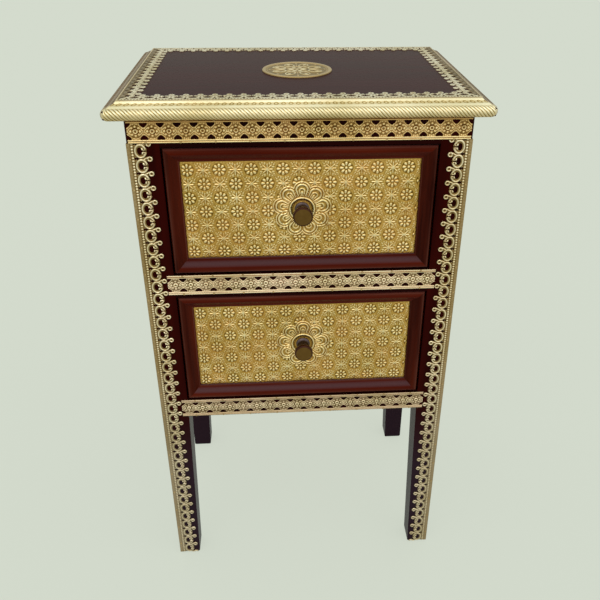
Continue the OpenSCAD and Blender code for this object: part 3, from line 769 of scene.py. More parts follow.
side_edge_brass = brass_finish(
    "side edge brass", (1.0, 0.86, 0.6), (0.3, 0.2, 0.125), (0.06, 0.036, 0.016), (0.42, 0.27, 0.19),
    0.34, 0.46,
)
lace_brass = brass_finish(
    "border brass", (1.0, 0.94, 0.8), (0.78, 0.64, 0.46), (0.22, 0.155, 0.085), (0.7, 0.53, 0.36), 0.3, 0.45
)
medal_brass = brass_finish(
    "medallion brass", (1.0, 0.86, 0.6), (0.48, 0.32, 0.14), (0.24, 0.16, 0.06), (0.56, 0.38, 0.2), 0.26, 0.45
)
tack_brass = brass_finish(
    "tack brass", (0.6, 0.43, 0.22), (0.4, 0.27, 0.12), (0.3, 0.2, 0.08), (0.4, 0.26, 0.12), 0.25, 0.4, 0.9
)
screw_steel = brass_finish(
    "screw steel", (0.55, 0.55, 0.55), (0.4, 0.4, 0.4), (0.3, 0.3, 0.3), (0.4, 0.38, 0.36), 0.25, 0.4, 0.8
)
print(len(bpy.data.materials), "materials so far, the last one", screw_steel.name)

# %% [markdown]
# The wood is stained almost black-red and polished. Its grain hardly shows, but it breaks up the reflections.
# Grain is noise stretched along the board, so one group serves upright, level and deep boards with different
# stretches. A paler colour is painted on the faces that look along a given direction, up towards the light on
# the mouldings, and low on the legs: it is painted sheen. The stain wears thin along the edges of the
# mouldings, and that lighter colour also paints the highlight that these edges catch. So the group also takes
# a sheen colour, the direction of the faces that get it, the height under which it is painted, and a value
# that says where an edge is.

# %% A node group for stained wood
wood, wood_in, wood_out = new_group(
    "stained wood",
    [
        ("Dark", "NodeSocketColor", (0.01, 0.002, 0.002, 1)),
        ("Light", "NodeSocketColor", (0.06, 0.012, 0.006, 1)),
        ("Stretch", "NodeSocketVector", (1.0, 1.0, 0.1)),
        ("Polish", "NodeSocketFloat", 0.3),
        ("Haze", "NodeSocketColor", (0.08, 0.04, 0.04, 1)),
        ("Facing", "NodeSocketVector", (0.0, 0.0, 0.0)),
        ("Low", "NodeSocketFloat", -1.0),
        ("Edge", "NodeSocketFloat", 0.0),
        ("WornAndHighlight", "NodeSocketColor", (0.125, 0.045, 0.03, 1)),
    ],
    SURFACE,
)
wood_place = add_node(wood, "ShaderNodeTexCoord")
grain = add_node(wood, "ShaderNodeVectorMath", operation="MULTIPLY")
feed(wood, grain.inputs[0], wood_place.outputs["Object"])
feed(wood, grain.inputs[1], wood_in["Stretch"])
streak = noise(wood, grain.outputs[0], 60.0, 6.0, 0.62)
stain_and_sheen = mix_colour(wood, mask(wood, streak, 2.2, -0.6), wood_in["Dark"], wood_in["Light"])
toward = add_node(wood, "ShaderNodeVectorMath", operation="DOT_PRODUCT")
feed(wood, toward.inputs[0], wood_place.outputs["Normal"])
feed(wood, toward.inputs[1], wood_in["Facing"])
# Painted sheen on the faces that look along Facing, and below the height Low.
facing_sheen_mask = maths(wood, "POWER", maths(wood, "ABSOLUTE", toward.outputs["Value"]), 3.0)
below = maths(wood, "SUBTRACT", wood_in["Low"], height_over(wood, wood_place.outputs["Object"]))
low_sheen_mask = maths(wood, "MULTIPLY", below, 9.0, clamp=True)
stain_and_sheen = mix_colour(wood, maths(wood, "MAXIMUM", facing_sheen_mask, low_sheen_mask, clamp=True), stain_and_sheen, wood_in["Haze"])
# Worn stain along the edges, which also paints their highlight.
edge_wear_and_highlight = maths(wood, "MULTIPLY", wood_in["Edge"], mask(wood, streak, 2.6, -0.85), clamp=True)
feed(wood, wood_out["Color"], mix_colour(wood, edge_wear_and_highlight, stain_and_sheen, wood_in["WornAndHighlight"]))
smeared = maths(wood, "ADD", wood_in["Polish"], maths(wood, "MULTIPLY", streak, 0.12))
feed(wood, wood_out["Roughness"], smeared)
feed(wood, wood_out["Normal"], bumped(wood, noise(wood, grain.outputs[0], 420.0), 0.1, 0.0002))
print("group", wood.name, "with", len(wood.nodes), "nodes")


# %% [markdown]
# The cabinet's own boards share one dark stain, and the insides are bare wood that no one polished.
# The mouldings get their own painted sheen on the faces that look up, stronger on the lower ones, whose ogee
# faces up to the light. A finish says how the grain runs, how smooth the polish is and how strongly it
# shines.

# %% Wood finishes
def wood_finish(
    name, dark, light, stretch, polish, gloss, painted_sheen=(0, 0, 0), facing=(0, 0, 0), low=-1.0, edges=False
):
    """Stained wood whose grain runs along the axis with the small stretch, under a clear polish.
    A paler sheen colour is painted where the surface looks along facing, and below the height low, in metres.
    With edges, the stain is worn thin in patches where the piece's relief value is high, which also paints a
    highlight along the edges."""
    material, tree, shader = new_material(name)
    use_group(
        tree, shader, wood, Dark=dark, Light=light, Stretch=stretch, Polish=polish,
        Haze=painted_sheen, Facing=facing, Low=low, Edge=relief_value(tree) if edges else 0.0,
    )
    feed(tree, shader.inputs["Specular IOR Level"], gloss)
    feed(tree, shader.inputs["Specular Tint"], (1.0, 0.72, 0.7, 1))
    return material


ALONG_X = (0.08, 1.0, 1.0)
ALONG_Y = (1.0, 0.08, 1.0)
ALONG_Z = (1.0, 1.0, 0.08)
NEAR_BLACK = (0.01, 0.0006, 0.0004)
DEEP_RED = (0.036, 0.0018, 0.0008)
MOULD_DARK = (0.045, 0.0024, 0.0008)
MOULD_LIGHT = (0.095, 0.0095, 0.002)
BARE_DARK = (0.2, 0.1, 0.045)
BARE_LIGHT = (0.36, 0.2, 0.1)
# The paler colour low on the legs is painted sheen.
post_wood = wood_finish(
    "post wood", NEAR_BLACK, DEEP_RED, ALONG_Z, 0.25, 0.03, painted_sheen=(0.022, 0.011, 0.017), low=0.27
)
rail_wood = wood_finish("rail wood", (0.004, 0.0003, 0.0003), (0.022, 0.001, 0.0007), ALONG_X, 0.25, 0.04)
side_wood = wood_finish("side wood", NEAR_BLACK, DEEP_RED, ALONG_Z, 0.3, 0.1)
# The top's pale purple-grey colour is painted sheen; its own gloss is nearly off.
top_wood_and_sheen = wood_finish("top wood", (0.034, 0.012, 0.014), (0.052, 0.018, 0.02), ALONG_X, 0.2, 0.01)
# Painted sheen on the faces that look up: weaker on the upper mouldings, stronger and paler on the lower
# ones.
top_mould_wood = wood_finish(
    "upper moulding wood", MOULD_DARK, MOULD_LIGHT, ALONG_X, 0.18, 0.04,
    painted_sheen=(0.06, 0.026, 0.024), facing=(0, 0, 0.95), edges=True,
)
bottom_mould_wood = wood_finish(
    "lower moulding wood", MOULD_DARK, MOULD_LIGHT, ALONG_X, 0.18, 0.05,
    painted_sheen=(0.085, 0.042, 0.046), facing=(0, 0, 1.35), edges=True,
)
upright_mould_wood = wood_finish(
    "upright moulding wood", NEAR_BLACK, (0.085, 0.0105, 0.003), ALONG_Z, 0.2, 0.05, edges=True
)
pale_x = wood_finish("plain wood across", BARE_DARK, BARE_LIGHT, ALONG_X, 0.55, 0.3)
pale_y = wood_finish("plain wood deep", BARE_DARK, BARE_LIGHT, ALONG_Y, 0.55, 0.3)
pale_z = wood_finish("plain wood upright", BARE_DARK, BARE_LIGHT, ALONG_Z, 0.55, 0.3)
print(len(bpy.data.materials), "materials so far, the last one", pale_z.name)

# %% [markdown]
# Boards whose CAD shape is right keep it and only get a finish. The grain follows the length of each board,
# so the list below goes by the ends of the boards' names. Tack heads and screws keep their shape too.

# %% Give boards, tacks and screws their finish
NODE_FINISHES = (
    (("_post",), post_wood),
    (("side_panel",), side_wood),
    (("_rail", "front_board"), rail_wood),
    (("top_board",), top_wood_and_sheen),
    (("runner", "kicker", "stops", "box_left", "box_right"), pale_y),
    (("back_panel",), pale_z),
    (("box_back", "box_bottom", "bottom_board"), pale_x),
    (("brass_tacks",), tack_brass),
    (("knob_screw",), screw_steel),
)
for name, node in nodes.items():
    for endings, finish in NODE_FINISHES:
        if name.endswith(endings):
            node.data.materials.clear()
            node.data.materials.append(finish)
            break
print("boards, tacks and screws finished")


# %% [markdown]
# Every new piece stands for one CAD node, so one function gives it its finish and its body, and hides that
# node.

# %% Fix a piece to the cabinet
def fit(piece, finish, body, node):
    """Gives a piece its material and body, and hides the CAD node that it stands for."""
    piece.data.materials.append(finish)
    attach(piece, body)
    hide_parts(node)
    print(piece.name, len(piece.data.polygons), "faces")
    return piece


# %% [markdown]
# On the real drawers a whole sheet of embossed brass fills the frame of mouldings.
# It needs no cut-outs, so a grid with a flat back is enough. The ground has kept a skin of old polish,
# darkest in the sunk discs round the daisies, and round the foot of the knob one dark tone is painted shade
# of the knob.

# %% Drawer panels
EMBOSS = 1.1
PANEL_GRID = 0.62
GROUND_SKIN = 0.76
CREST_SKIN = 1.45
DISC_SKIN = 0.7
# Tone of the painted shade of the knob round its foot.
KNOB_FOOT_SHADE = 0.45


def panel_height(x, z):
    """Sheet thickness plus the embossed field and a faint unevenness."""
    return SHEET + EMBOSS * drawer_field(x, z) + 0.12 * hammered(x, z)


def panel_dirt_and_shade(x, z):
    """Brighter with the height of the marks, darker in the discs, and one dark tone round the knob's foot,
    which is painted shade of the knob.
    """
    # Painted shade of the knob round its foot.
    foot = ramp(HUB - 1.0 - np.hypot(x, z), 1.0)
    raised = drawer_field(x, z)
    tone_change = GROUND_SKIN + CREST_SKIN * np.clip(raised, 0, 1) + DISC_SKIN * np.clip(raised, -DISC_DEPTH, 0)
    return tone_change * (1 - foot) + KNOB_FOOT_SHADE * foot


def drawer_panel(level):
    """The embossed sheet of one drawer, centred on its CAD panel."""
    low, high = corners_mm(level + "_brass_panel")
    middle = (low + high) / 2
    wide = (high[0] - low[0]) / 2
    tall = (high[2] - low[2]) / 2
    points, faces, tone = closed_sheet(
        lines(-wide, wide, PANEL_GRID), lines(-tall, tall, PANEL_GRID), panel_height,
        plain_back=True, span=EMBOSS, wear_dirt_and_painted_light=panel_dirt_and_shade,
    )
    place = np.stack([points[:, 0] + middle[0], high[1] - points[:, 2], points[:, 1] + middle[2]], 1)
    piece = add_mesh(level + "_panel_sheet", place, faces, tone)
    return fit(piece, panel_brass, level + "_drawer", level + "_brass_panel")


for level in ("upper", "lower"):
    drawer_panel(level)


# %% [markdown]
# The three rosette bands are strips of the same stock, cut to length and nailed under the top, between the
# drawers and below them. They differ in length, in finish and in the tone of their two edges: on the frieze
# the upper edge is painted shade under the overhang of the top and the lower edge a painted highlight, and on
# the other two both edges are simply darker. Each has a whole number of rosettes, so one function makes them
# all.

# %% Rosette bands
ROSETTE = 17.0
BAND_LIFT = 1.0
BAND_GRID = 0.55


def rosette_band(node, finish, upper, lower):
    """The pierced band that stands for a CAD band. upper and lower multiply the tone of its two edges, where
    1 keeps that of the middle; on the frieze the darker upper edge is painted shade under the top's overhang
    and the brighter lower edge a painted highlight."""
    low, high = corners_mm(node)
    length = high[0] - low[0]
    tall = (high[2] - low[2]) / 2
    centre = (low[2] + high[2]) / 2
    pitch = length / np.floor(length / ROSETTE)
    start = -length / 2 + pitch / 2

    def metal(u, v):
        """Depth in the metal, counted from the first rosette."""
        return rosette_metal(u - start, v, pitch)

    def height(u, v):
        """Sheet thickness, embossing and a faint unevenness."""
        return SHEET + BAND_LIFT * rosette_work(u - start, v, pitch) + 0.05 * hammered(u, v, 5.0)

    def wear_dirt_and_painted_light(u, v):
        """1 in the middle, and a straight change to upper and lower towards the edges."""
        return 1 + (upper - 1) * ramp(v - 7.0, 2.0) + (lower - 1) * ramp(-v - 8.6, 0.4)

    points, faces, tone = closed_sheet(
        lines(-length / 2, length / 2, BAND_GRID), lines(-tall, tall, BAND_GRID), height, metal,
        span=BAND_LIFT, wear_dirt_and_painted_light=wear_dirt_and_painted_light,
    )
    place = np.stack([points[:, 0], BODY_FRONT - points[:, 2], points[:, 1] + centre], 1)
    return fit(add_mesh(node + "_sheet", place, faces, tone), finish, "carcass", node)


# On the frieze the darker upper edge is painted shade under the top's overhang, and the brighter lower edge a
# painted highlight on its rules.
rosette_band("frieze_band", frieze_shaded_brass, 0.5, 1.35)
rosette_band("middle_band", band_brass, 0.85, 0.8)
rosette_band("bottom_band", low_band_brass, 0.7, 0.6)


# %% [markdown]
# A corner strip is one sheet folded round the front corner, from the top down to the foot of the leg.
# Two sheets could meet at the corner, but the real one is a single strip. So its flat pattern is drawn first,
# and then the part beyond the corner is bent back along the side by a warp of the finished points.

# %% Corner strips
STRIP_FLAT = 4.3
STRIP_WRAP = 8.0
STRIP_REACH = STRIP_FLAT + REACH
SCROLL_PITCH = 16.3
STRIP_LIFT = 1.1
STRIP_GRID = 0.62


def fold_grime(u, t):
    """The plain fold at the corner is rubbed a little brighter than the scrolls, most of all high up."""
    return 1.04 + (0.1 + 0.12 * ramp(u - 200, 200)) * ramp(STRIP_FLAT - t, 0.6)


def corner_strip(side):
    """The folded scroll strip on the left or right front corner; side is -1 or 1.
    t is the distance from the corner: inwards on the front, and negative on the side."""
    node = ("left" if side < 0 else "right") + "_corner_strip"
    low, high = corners_mm(node)
    length = high[2] - low[2]
    pitch = length / np.floor(length / SCROLL_PITCH)
    start = pitch / 2

    def metal(u, t):
        """Depth in the metal, counted from the lowest scroll. The fold is whole, like the bead row."""
        return scroll_metal(u - start, t - STRIP_FLAT, pitch)

    def height(u, t):
        """Sheet thickness, embossing beyond the plain fold, and a faint unevenness."""
        worked = scroll_work(u - start, t - STRIP_FLAT, pitch)
        return SHEET + STRIP_LIFT * np.where(t > STRIP_FLAT, worked, 0) + 0.04 * hammered(u, t, 5.0)

    across = np.concatenate([[-STRIP_WRAP, -STRIP_WRAP / 2, -1.2, -0.6], lines(0, STRIP_REACH, STRIP_GRID)])
    points, faces, tone = closed_sheet(
        lines(0, length, STRIP_GRID), across, height, metal, span=STRIP_LIFT, wear_dirt_and_painted_light=fold_grime
    )
    rise, t, lift = points.T
    out = BODY_SIDE + SHEET - np.maximum(t, 0) - np.where(t < 0, SHEET - lift, 0)
    deep = BODY_FRONT - np.where(t < 0, SHEET + t, lift)
    place = np.stack([side * out, deep, low[2] + rise], 1)
    if side < 0:
        faces = [f[:, ::-1] for f in faces]
    return fit(add_mesh(node + "_sheet", place, faces, tone), strip_brass, "carcass", node)


for side in (-1, 1):
    corner_strip(side)


# %% [markdown]
# The border on the top is four lengths of the same scroll, cut at the mitres. The cut could be a Boolean, but
# it is only one more limit on the depth of the metal. On the two short sides the outer part is darkened to
# brown.

# %% Border on the top
border_low, border_high = corners_mm("top_border")
BORDER_GRID = 0.68
BORDER_PITCH = 14.6
BORDER_SHEET = SHEET - 0.05
BORDER_LIFT = 0.63
MITRE_PLAIN = 25.0
BROWN_BAND = 9.5
QUARTER_TURNS = ((1, 0), (0, 1), (-1, 0), (0, -1))


def border_side(along, across, quarter):
    """One mitred side: points in the plan of the top, turned by quarter turns."""
    count = np.floor((along - 2 * MITRE_PLAIN) / BORDER_PITCH)
    pitch = (along - 2 * MITRE_PLAIN) / count
    start = MITRE_PLAIN + pitch / 2

    def metal(u, t):
        """Depth in the scroll's metal, or the distance inside the nearer mitre if that is less."""
        mitre = (np.minimum(u, along - u) - t) / np.sqrt(2)
        return np.minimum(scroll_metal(u - start, t, pitch), mitre)

    def height(u, t):
        """A slightly thinner sheet, and its embossing."""
        return BORDER_SHEET + BORDER_LIFT * scroll_work(u - start, t, pitch)

    def wear_dirt_and_painted_light(u, t):
        """The outer part of the two side lengths is brown, except along the rule at its edge."""
        tone_change = ramp(BROWN_BAND - t, 1.2) * ramp(t - 1.0, 0.5)
        return 1 - 0.97 * tone_change * (quarter % 2)

    points, faces, tone = closed_sheet(
        lines(0, along, BORDER_GRID), lines(0, REACH, BORDER_GRID), height, metal,
        span=BORDER_LIFT, wear_dirt_and_painted_light=wear_dirt_and_painted_light,
    )
    x = points[:, 0] - along / 2
    y = points[:, 1] - across / 2
    cosine, sine = QUARTER_TURNS[quarter]
    place = np.stack([cosine * x - sine * y, sine * x + cosine * y, TOP_FLAT + points[:, 2]], 1)
    return place, faces, tone


def top_border():
    """All four sides in one mesh."""
    wide, deep = (border_high - border_low)[:2]
    runs = ((wide, deep), (deep, wide)) * 2
    sides = [border_side(*run, quarter) for quarter, run in enumerate(runs)]
    offset = np.cumsum([0] + [len(s[0]) for s in sides[:-1]])
    points = np.concatenate([s[0] for s in sides])
    faces = [f + first for (_, part, _), first in zip(sides, offset) for f in part]
    tone = np.concatenate([s[2] for s in sides])
    piece = add_mesh("top_border_sheet", points, faces, tone)
    return fit(piece, lace_brass, "carcass", "top_border")


top_border()


# %% [markdown]
# The edge of the top is a wooden nose covered with brass: slanting flutes on the nose, a row of little rings
# above it, and a steep bright fillet up to the flat. It could be a bevelled curve, but the flutes need
# a surface with known directions. So it is a profile carried round the rounded corners of the top.

# %% Profile of the edge
NOSE = 6.2
TOP_T = 18.0
EDGE = 15.6
LIP = 12.0
FLUTE = 4.06
FLUTE_TURNS = 4.15
RING_PITCH = 7.8
NOSE_FROM = 0.12
NOSE_TO = 0.62
RINGS_AT = 0.8
RINGS_FROM = 0.72
RINGS_TO = 0.885
# Knots of the profile as (v, distance in from the nose, height over the underside). The nose runs between
# the second and the third knot.
PROFILE = (
    (0, LIP, 0),
    (NOSE_FROM, NOSE, 0),
    (NOSE_TO, NOSE, 2 * NOSE),
    (0.66, NOSE + 1.8, 2 * NOSE + 1.0),
    (0.84, EDGE - 2.4, TOP_T - 2.3),
    (0.9, EDGE - 1.6, TOP_T - 1.5),
    (0.955, EDGE - 0.35, TOP_T - 0.2),
    (1.0, EDGE + 0.1, TOP_T + 0.05),
)


def edge_profile(v):
    """Distance in from the outermost nose and height over the underside, for v from 0 (under) to 1 (on the
    flat). It runs level from the lip, in a half circle round the nose, up a slope and up a steep fillet."""
    knots, inwards, upwards = np.array(PROFILE).T
    angle = np.pi * ramp(v - NOSE_FROM, NOSE_TO - NOSE_FROM)
    on_nose = (v >= NOSE_FROM) & (v <= NOSE_TO)
    inset = np.where(on_nose, NOSE - NOSE * np.sin(angle), np.interp(v, knots, inwards))
    return inset, np.where(on_nose, NOSE - NOSE * np.cos(angle), np.interp(v, knots, upwards))


def edge_work(s, v, fade):
    """Depth of the cuts (0 to 1) and tone: slanting flutes on the nose, and a row of punched rings above it.
    The tone also paints a highlight on the upper half of the nose, falling to a darker painted reflection on
    its lower half.
    A flute is a valley where s / FLUTE plus FLUTE_TURNS times the share of the nose is a whole number and
    a half, so it leans as v grows. fade takes the flutes out at the mitres."""
    phase = s / FLUTE + FLUTE_TURNS * ((v - NOSE_FROM) / (NOSE_TO - NOSE_FROM))
    away = np.abs(np.mod(phase, 1) - 0.5) * FLUTE
    window = ramp(v - NOSE_FROM - 0.02, 0.04) * ramp(NOSE_TO + 0.005 - v, 0.01)
    flute = np.clip(1.6 * ridge(away, 0.95), 0, 1) * window * fade
    ring_s = np.mod(s, RING_PITCH) - RING_PITCH / 2
    ring_v = (v - RINGS_AT) / 0.09 * 2.7
    oval = (np.hypot(ring_s / 2.0, ring_v / 1.6) - 1) * 1.8
    sunk = (0.3 + 0.7 * ridge(oval, 0.95)) * (ramp(v - RINGS_FROM, 0.02) * ramp(RINGS_TO - v, 0.02))
    # Painted highlight on the upper half of the nose and a darker painted reflection below it; the flutes and
    # rings hold dirt.
    tone = (0.5 + 0.5 * ramp(v - 0.22, 0.24)) * (1 - 0.98 * flute) * (1 - 0.9 * sunk)
    return np.maximum(flute, 0.8 * sunk), tone


# %% [markdown]
# The path is a rectangle with round corners. Further in from the nose its corners get tighter, and a smooth
# floor keeps the radius above zero, so that no edge folds over itself.

# %% Path round the top
CORNER = 8.0
HALF_W = corners_mm("right_top_edge")[1][0]
HALF_D = -corners_mm("front_top_edge")[0][1]


def path_marks():
    """Where the straights and quarter circles of the outermost line begin, measured along it from the middle
    of the front, and its whole length."""
    straight_x = HALF_W - CORNER
    straight_y = HALF_D - CORNER
    quarter = CORNER * np.pi / 2
    long_side = [2 * straight_x, quarter]
    short_side = [2 * straight_y, quarter]
    marks = np.cumsum([0, straight_x, quarter] + short_side + long_side + short_side)
    return marks, marks[-1] + straight_x


def rounded_path(s, inset):
    """Point on the rounded rectangle, drawn in by inset, at parameter s measured along the outermost line.
    s = 0 is the middle of the front, and it grows towards +X and round to the back."""
    marks, whole = path_marks()
    s = np.mod(s, whole)
    gap = CORNER - inset
    radius = 0.5 * (gap + np.sqrt(gap**2 + 1.2))
    cx = HALF_W - inset - radius
    cy = HALF_D - inset - radius
    share = [ramp(s - marks[i], marks[i + 1] - marks[i]) for i in range(8)]
    last = ramp(s - marks[8], whole - marks[8])
    angle = -np.pi / 2 + np.pi / 2 * (share[1] + share[3] + share[5] + share[7])
    x = cx * (share[0] - 2 * share[4] + last)
    y = cy * (-1 + 2 * share[2] - 2 * share[6])
    return x + radius * np.cos(angle), y + radius * np.sin(angle)


# %% [markdown]
# Each of the four lengths ends in a mitre. The worked front and a plain back a little behind it make one
# closed loop, which is capped at both ends. The brass of the two short sides is bright only near the front
# corners, where hands have rubbed it.

# %% The four lengths of the edge
EDGE_GRID = 0.55
CUT_DEPTH = 0.6
WALL = 1.2
RUBBED_RUN = 12
MITRE_FADE = 4.0
V_STEP = 0.001


def edge_length(name, first, last, worn_from):
    """One mitred length of the edge, from path parameter first to last. Cuts go in against the normal of the
    profile. The brass is bright near worn_from and dull further along, or bright all along without one."""
    s = lines(first, last, EDGE_GRID)
    under = np.linspace(0, NOSE_FROM, 3)[:-1]
    v = np.concatenate([under, np.linspace(NOSE_FROM, NOSE_TO, 28), np.linspace(0.64, 1.0, 22)])
    grid_s, grid_v = np.meshgrid(s, v, indexing="ij")
    inset, rise = edge_profile(grid_v)
    before = edge_profile(grid_v - V_STEP)
    after = edge_profile(grid_v + V_STEP)
    run = after[0] - before[0]
    climb = after[1] - before[1]
    size = np.maximum(np.hypot(run, climb), 1e-9)
    fade = ramp(np.minimum(grid_s - first, last - grid_s), MITRE_FADE)
    depth, tone = edge_work(grid_s, grid_v, fade)
    if worn_from is not None:
        tone = tone * (0.42 + 0.58 * np.clip(1.4 - np.abs(grid_s - worn_from) / RUBBED_RUN, 0, 1))
    work = -CUT_DEPTH * depth * fade
    inset = inset - work * climb / size
    rise = rise + work * run / size
    x, y = rounded_path(grid_s, np.maximum(inset, 0))
    front = np.stack([x, y, TOP_UNDER + np.clip(rise, 0, TOP_T + SHEET)], -1)
    deep_x = np.clip(inset + WALL * climb / size, 0.8, None)
    deep_z = np.clip(rise - WALL * run / size, 0.05, TOP_T - 0.6)
    x, y = rounded_path(grid_s, deep_x)
    back = np.stack([x, y, TOP_UNDER + deep_z], -1)
    loop = np.concatenate([front, back[:, ::-1]], 1)
    relief = np.concatenate([tone, np.zeros_like(tone)], 1)
    return add_mesh(name, loop.reshape(-1, 3), capped_hoops(*loop.shape[:2]), relief.ravel(), 60.0)


marks, whole = path_marks()
corner_s = [(marks[i] + marks[i + 1]) / 2 for i in (1, 3, 5, 7)]
EDGE_LENGTHS = (
    ("front", corner_s[3] - whole, corner_s[0], None, edge_brass),
    ("right", corner_s[0], corner_s[1], corner_s[0], side_edge_brass),
    ("back", corner_s[1], corner_s[2], None, edge_brass),
    ("left", corner_s[2], corner_s[3], corner_s[3], side_edge_brass),
)
for side, first, last, worn_from, finish in EDGE_LENGTHS:
    piece = edge_length(side + "_edge_sheet", first, last, worn_from)
    fit(piece, finish, "carcass", side + "_top_edge")


# %% [markdown]
# The medallion is a round plate in the middle of the top. A square grid would leave steps at its rim,
# so its grid is of circles and spokes, with one point at the pole.

# %% Medallion
SPOKES = 360
MEDAL_GRID = 0.6
MEDAL_SHEET = SHEET - 0.2
MEDAL_LIFT = 0.88
INNER_AT = 8.5
INNER_RING = 15.0
LEAF_RING = 23.0
BUD_RING = 26.0
SEED_RING = 33.0
OUTER_RING = 36.4
RIM_FROM = 37.6


def medal_work(r, turn, radius):
    """Height of the work: the largest of an inner round of veined petals, an outer round of petal outlines
    with buds, seeds and stems between them, two rings and a plain rim. Returns it, and the rim alone.
    Petals lie between the spokes at each eighth of a turn, seeds and stems on them."""
    off_petal = r * np.sin(folded(turn - EIGHTH / 2, EIGHTH))
    off_seed = r * np.sin(folded(turn, EIGHTH))
    inner = boss(np.hypot((r - INNER_AT) / 5.2, off_petal / 2.6), 1.0)
    vein = 0.4 * ridge(off_petal, 0.6) * (r < 13)
    outline = ridge(np.hypot((r - LEAF_RING) / 9.2, off_petal / 6.2) - 0.85, 0.2)
    bud = 0.9 * boss(np.hypot((r - BUD_RING) / 4.0, off_petal / 2.2), 1.0)
    seeds = 0.8 * boss(np.hypot(r - SEED_RING, off_seed), 1.6)
    stem = 0.6 * ridge(off_seed, 0.8) * (r > INNER_RING) * (r < 31)
    rings = highest(0.8 * ridge(r - INNER_RING, 0.8), 0.7 * ridge(r - OUTER_RING, 0.7), 0.9 * boss(r, 2.4))
    rim = ramp(r - RIM_FROM, 0.5) * np.clip((radius - r) / 0.5 + 0.3, 0, 1)
    return highest(inner - vein, outline, bud, seeds, stem, rings, rim), rim


def medallion():
    """The worked disc with a wall down to the wood and a flat back. Its relief is the height of the work,
    less on the rim, which has gone dull."""
    low, high = corners_mm("medallion")
    radius = (high[0] - low[0]) / 2
    r = np.concatenate([[0.001], lines(MEDAL_GRID, radius, MEDAL_GRID)])
    turn = np.linspace(0, 2 * np.pi, SPOKES + 1)[:-1]
    grid_r, grid_turn = np.meshgrid(r, turn, indexing="ij")
    work, rim = medal_work(grid_r, grid_turn, radius)
    lift = MEDAL_SHEET + MEDAL_LIFT * np.clip(work, -0.3, 1)
    front = np.stack([grid_r * np.cos(grid_turn), grid_r * np.sin(grid_turn), TOP_FLAT + lift], -1)
    base = np.stack([r[-1] * np.cos(turn), r[-1] * np.sin(turn), np.full(SPOKES, TOP_FLAT)], -1)
    points = np.concatenate([[[0, 0, TOP_FLAT + lift[0, 0]]], front[1:].reshape(-1, 3), base])
    index = 1 + np.arange((len(r) - 1) * SPOKES).reshape(len(r) - 1, SPOKES)
    fan = np.stack([np.zeros(SPOKES, int), index[0], np.roll(index[0], -1)], 1)
    foot = np.arange(SPOKES) + index[-1, -1] + 1
    wall = np.stack([index[-1], foot, np.roll(foot, -1), np.roll(index[-1], -1)], 1)
    bright = np.clip(1.15 * work - 0.62 * rim * (grid_r > RIM_FROM + 0.4), 0, 1)
    relief = np.concatenate([[1.0], bright[1:].ravel(), np.zeros(SPOKES)])
    piece = add_mesh("medallion_sheet", points, [hoop_quads(index), fan, wall, foot[::-1][None, :]], relief)
    return fit(piece, medal_brass, "carcass", "medallion")


medallion()


# %% [markdown]
# A moulding frames each panel: a rounded outer shoulder, a flat crest, and an ogee down to the brass.
# A carpenter runs it as a long stick and cuts the mitres. Here each length is that profile between two
# mitres, so its ends move in by one millimetre for each millimetre across. The stain is worn lighter along
# the shoulder and along the lip, where a cloth catches, and this lighter colour is also a painted highlight
# line along them.

# %% Drawer mouldings
MOULD_W = 17.0
SHOULDER = 3.0
CREST = 6.2
LIP_AT = 15.4
LIP_DROP = 5.6


def mould_profile():
    """Distance across from the outer edge and depth behind the crest: quarter circle, crest, ogee, lip.
    The ogee falls by the share squared times 3 less twice the share."""
    turn = np.linspace(0, np.pi / 2, 9)
    shoulder = np.stack([SHOULDER * (1 - np.cos(turn)), SHOULDER * (1 - np.sin(turn))], 1)
    share = np.linspace(0, 1, 22)
    fall = LIP_DROP * share * share * (3 - 2 * share)
    ogee = np.stack([CREST + share * (LIP_AT - CREST), fall], 1)
    lip_across = [LIP_AT + 0.5, MOULD_W - 0.35, MOULD_W]
    lip = np.stack([lip_across, LIP_DROP + np.array([0.05, 0.2, 0.55])], 1)
    return np.concatenate([shoulder, ogee, lip])


def moulding(level, place, finish):
    """One mitred length of moulding, made along its CAD node. Its relief says where the stain is worn, which
    also paints a highlight line along the shoulder and the lip.
    """
    node = f"{level}_mould_{place}"
    low, high = corners_mm(node)
    middle = (low + high) / 2
    depth = high[1] - low[1]
    length = (high[0] - low[0]) if place in ("top", "bottom") else (high[2] - low[2])
    section = np.concatenate([[[0, depth]], mould_profile(), [[MOULD_W, depth]]])
    along = lines(-1.0, 1.0, 0.25)[:, None] * (length / 2 - section[:, 0])[None, :]
    across = np.broadcast_to(section[:, 0], along.shape)
    back = np.broadcast_to(section[:, 1], along.shape)
    x, z = {
        "bottom": (along + middle[0], low[2] + across),
        "top": (-along + middle[0], high[2] - across),
        "left": (low[0] + across, -along + middle[2]),
        "right": (high[0] - across, along + middle[2]),
    }[place]
    points = np.stack([x, low[1] + back, z], -1)
    # The lighter worn stain on shoulder and lip is also a painted highlight line.
    on_shoulder = boss(section[:, 0] - 2.1, 0.95)
    on_lip = 0.8 * boss(section[:, 0] - LIP_AT - 0.4, 0.6)
    wear_and_highlight = highest(on_shoulder, on_lip) * (section[:, 1] < depth - 0.1)
    tone = np.broadcast_to(wear_and_highlight, along.shape).ravel()
    piece = add_mesh(node + "_length", points.reshape(-1, 3), capped_hoops(*along.shape), tone, 40.0)
    return fit(piece, finish, level + "_drawer", node)


MOULD_FINISHES = {
    "top": top_mould_wood,
    "bottom": bottom_mould_wood,
    "left": upright_mould_wood,
    "right": upright_mould_wood,
}
for level in ("upper", "lower"):
    for place, finish in MOULD_FINISHES.items():
        moulding(level, place, finish)


# %% [markdown]
# The knobs' bronze is darker than the sheet brass, and smooth from handling: the face is rubbed to bare metal
# (relief 1), the rim is painted dark red as a painted dark reflection (0.5), and the neck is painted bluish
# grey as a painted sheen (0). The same relief value tells the material where it is, and noise breaks up each
# of the three.

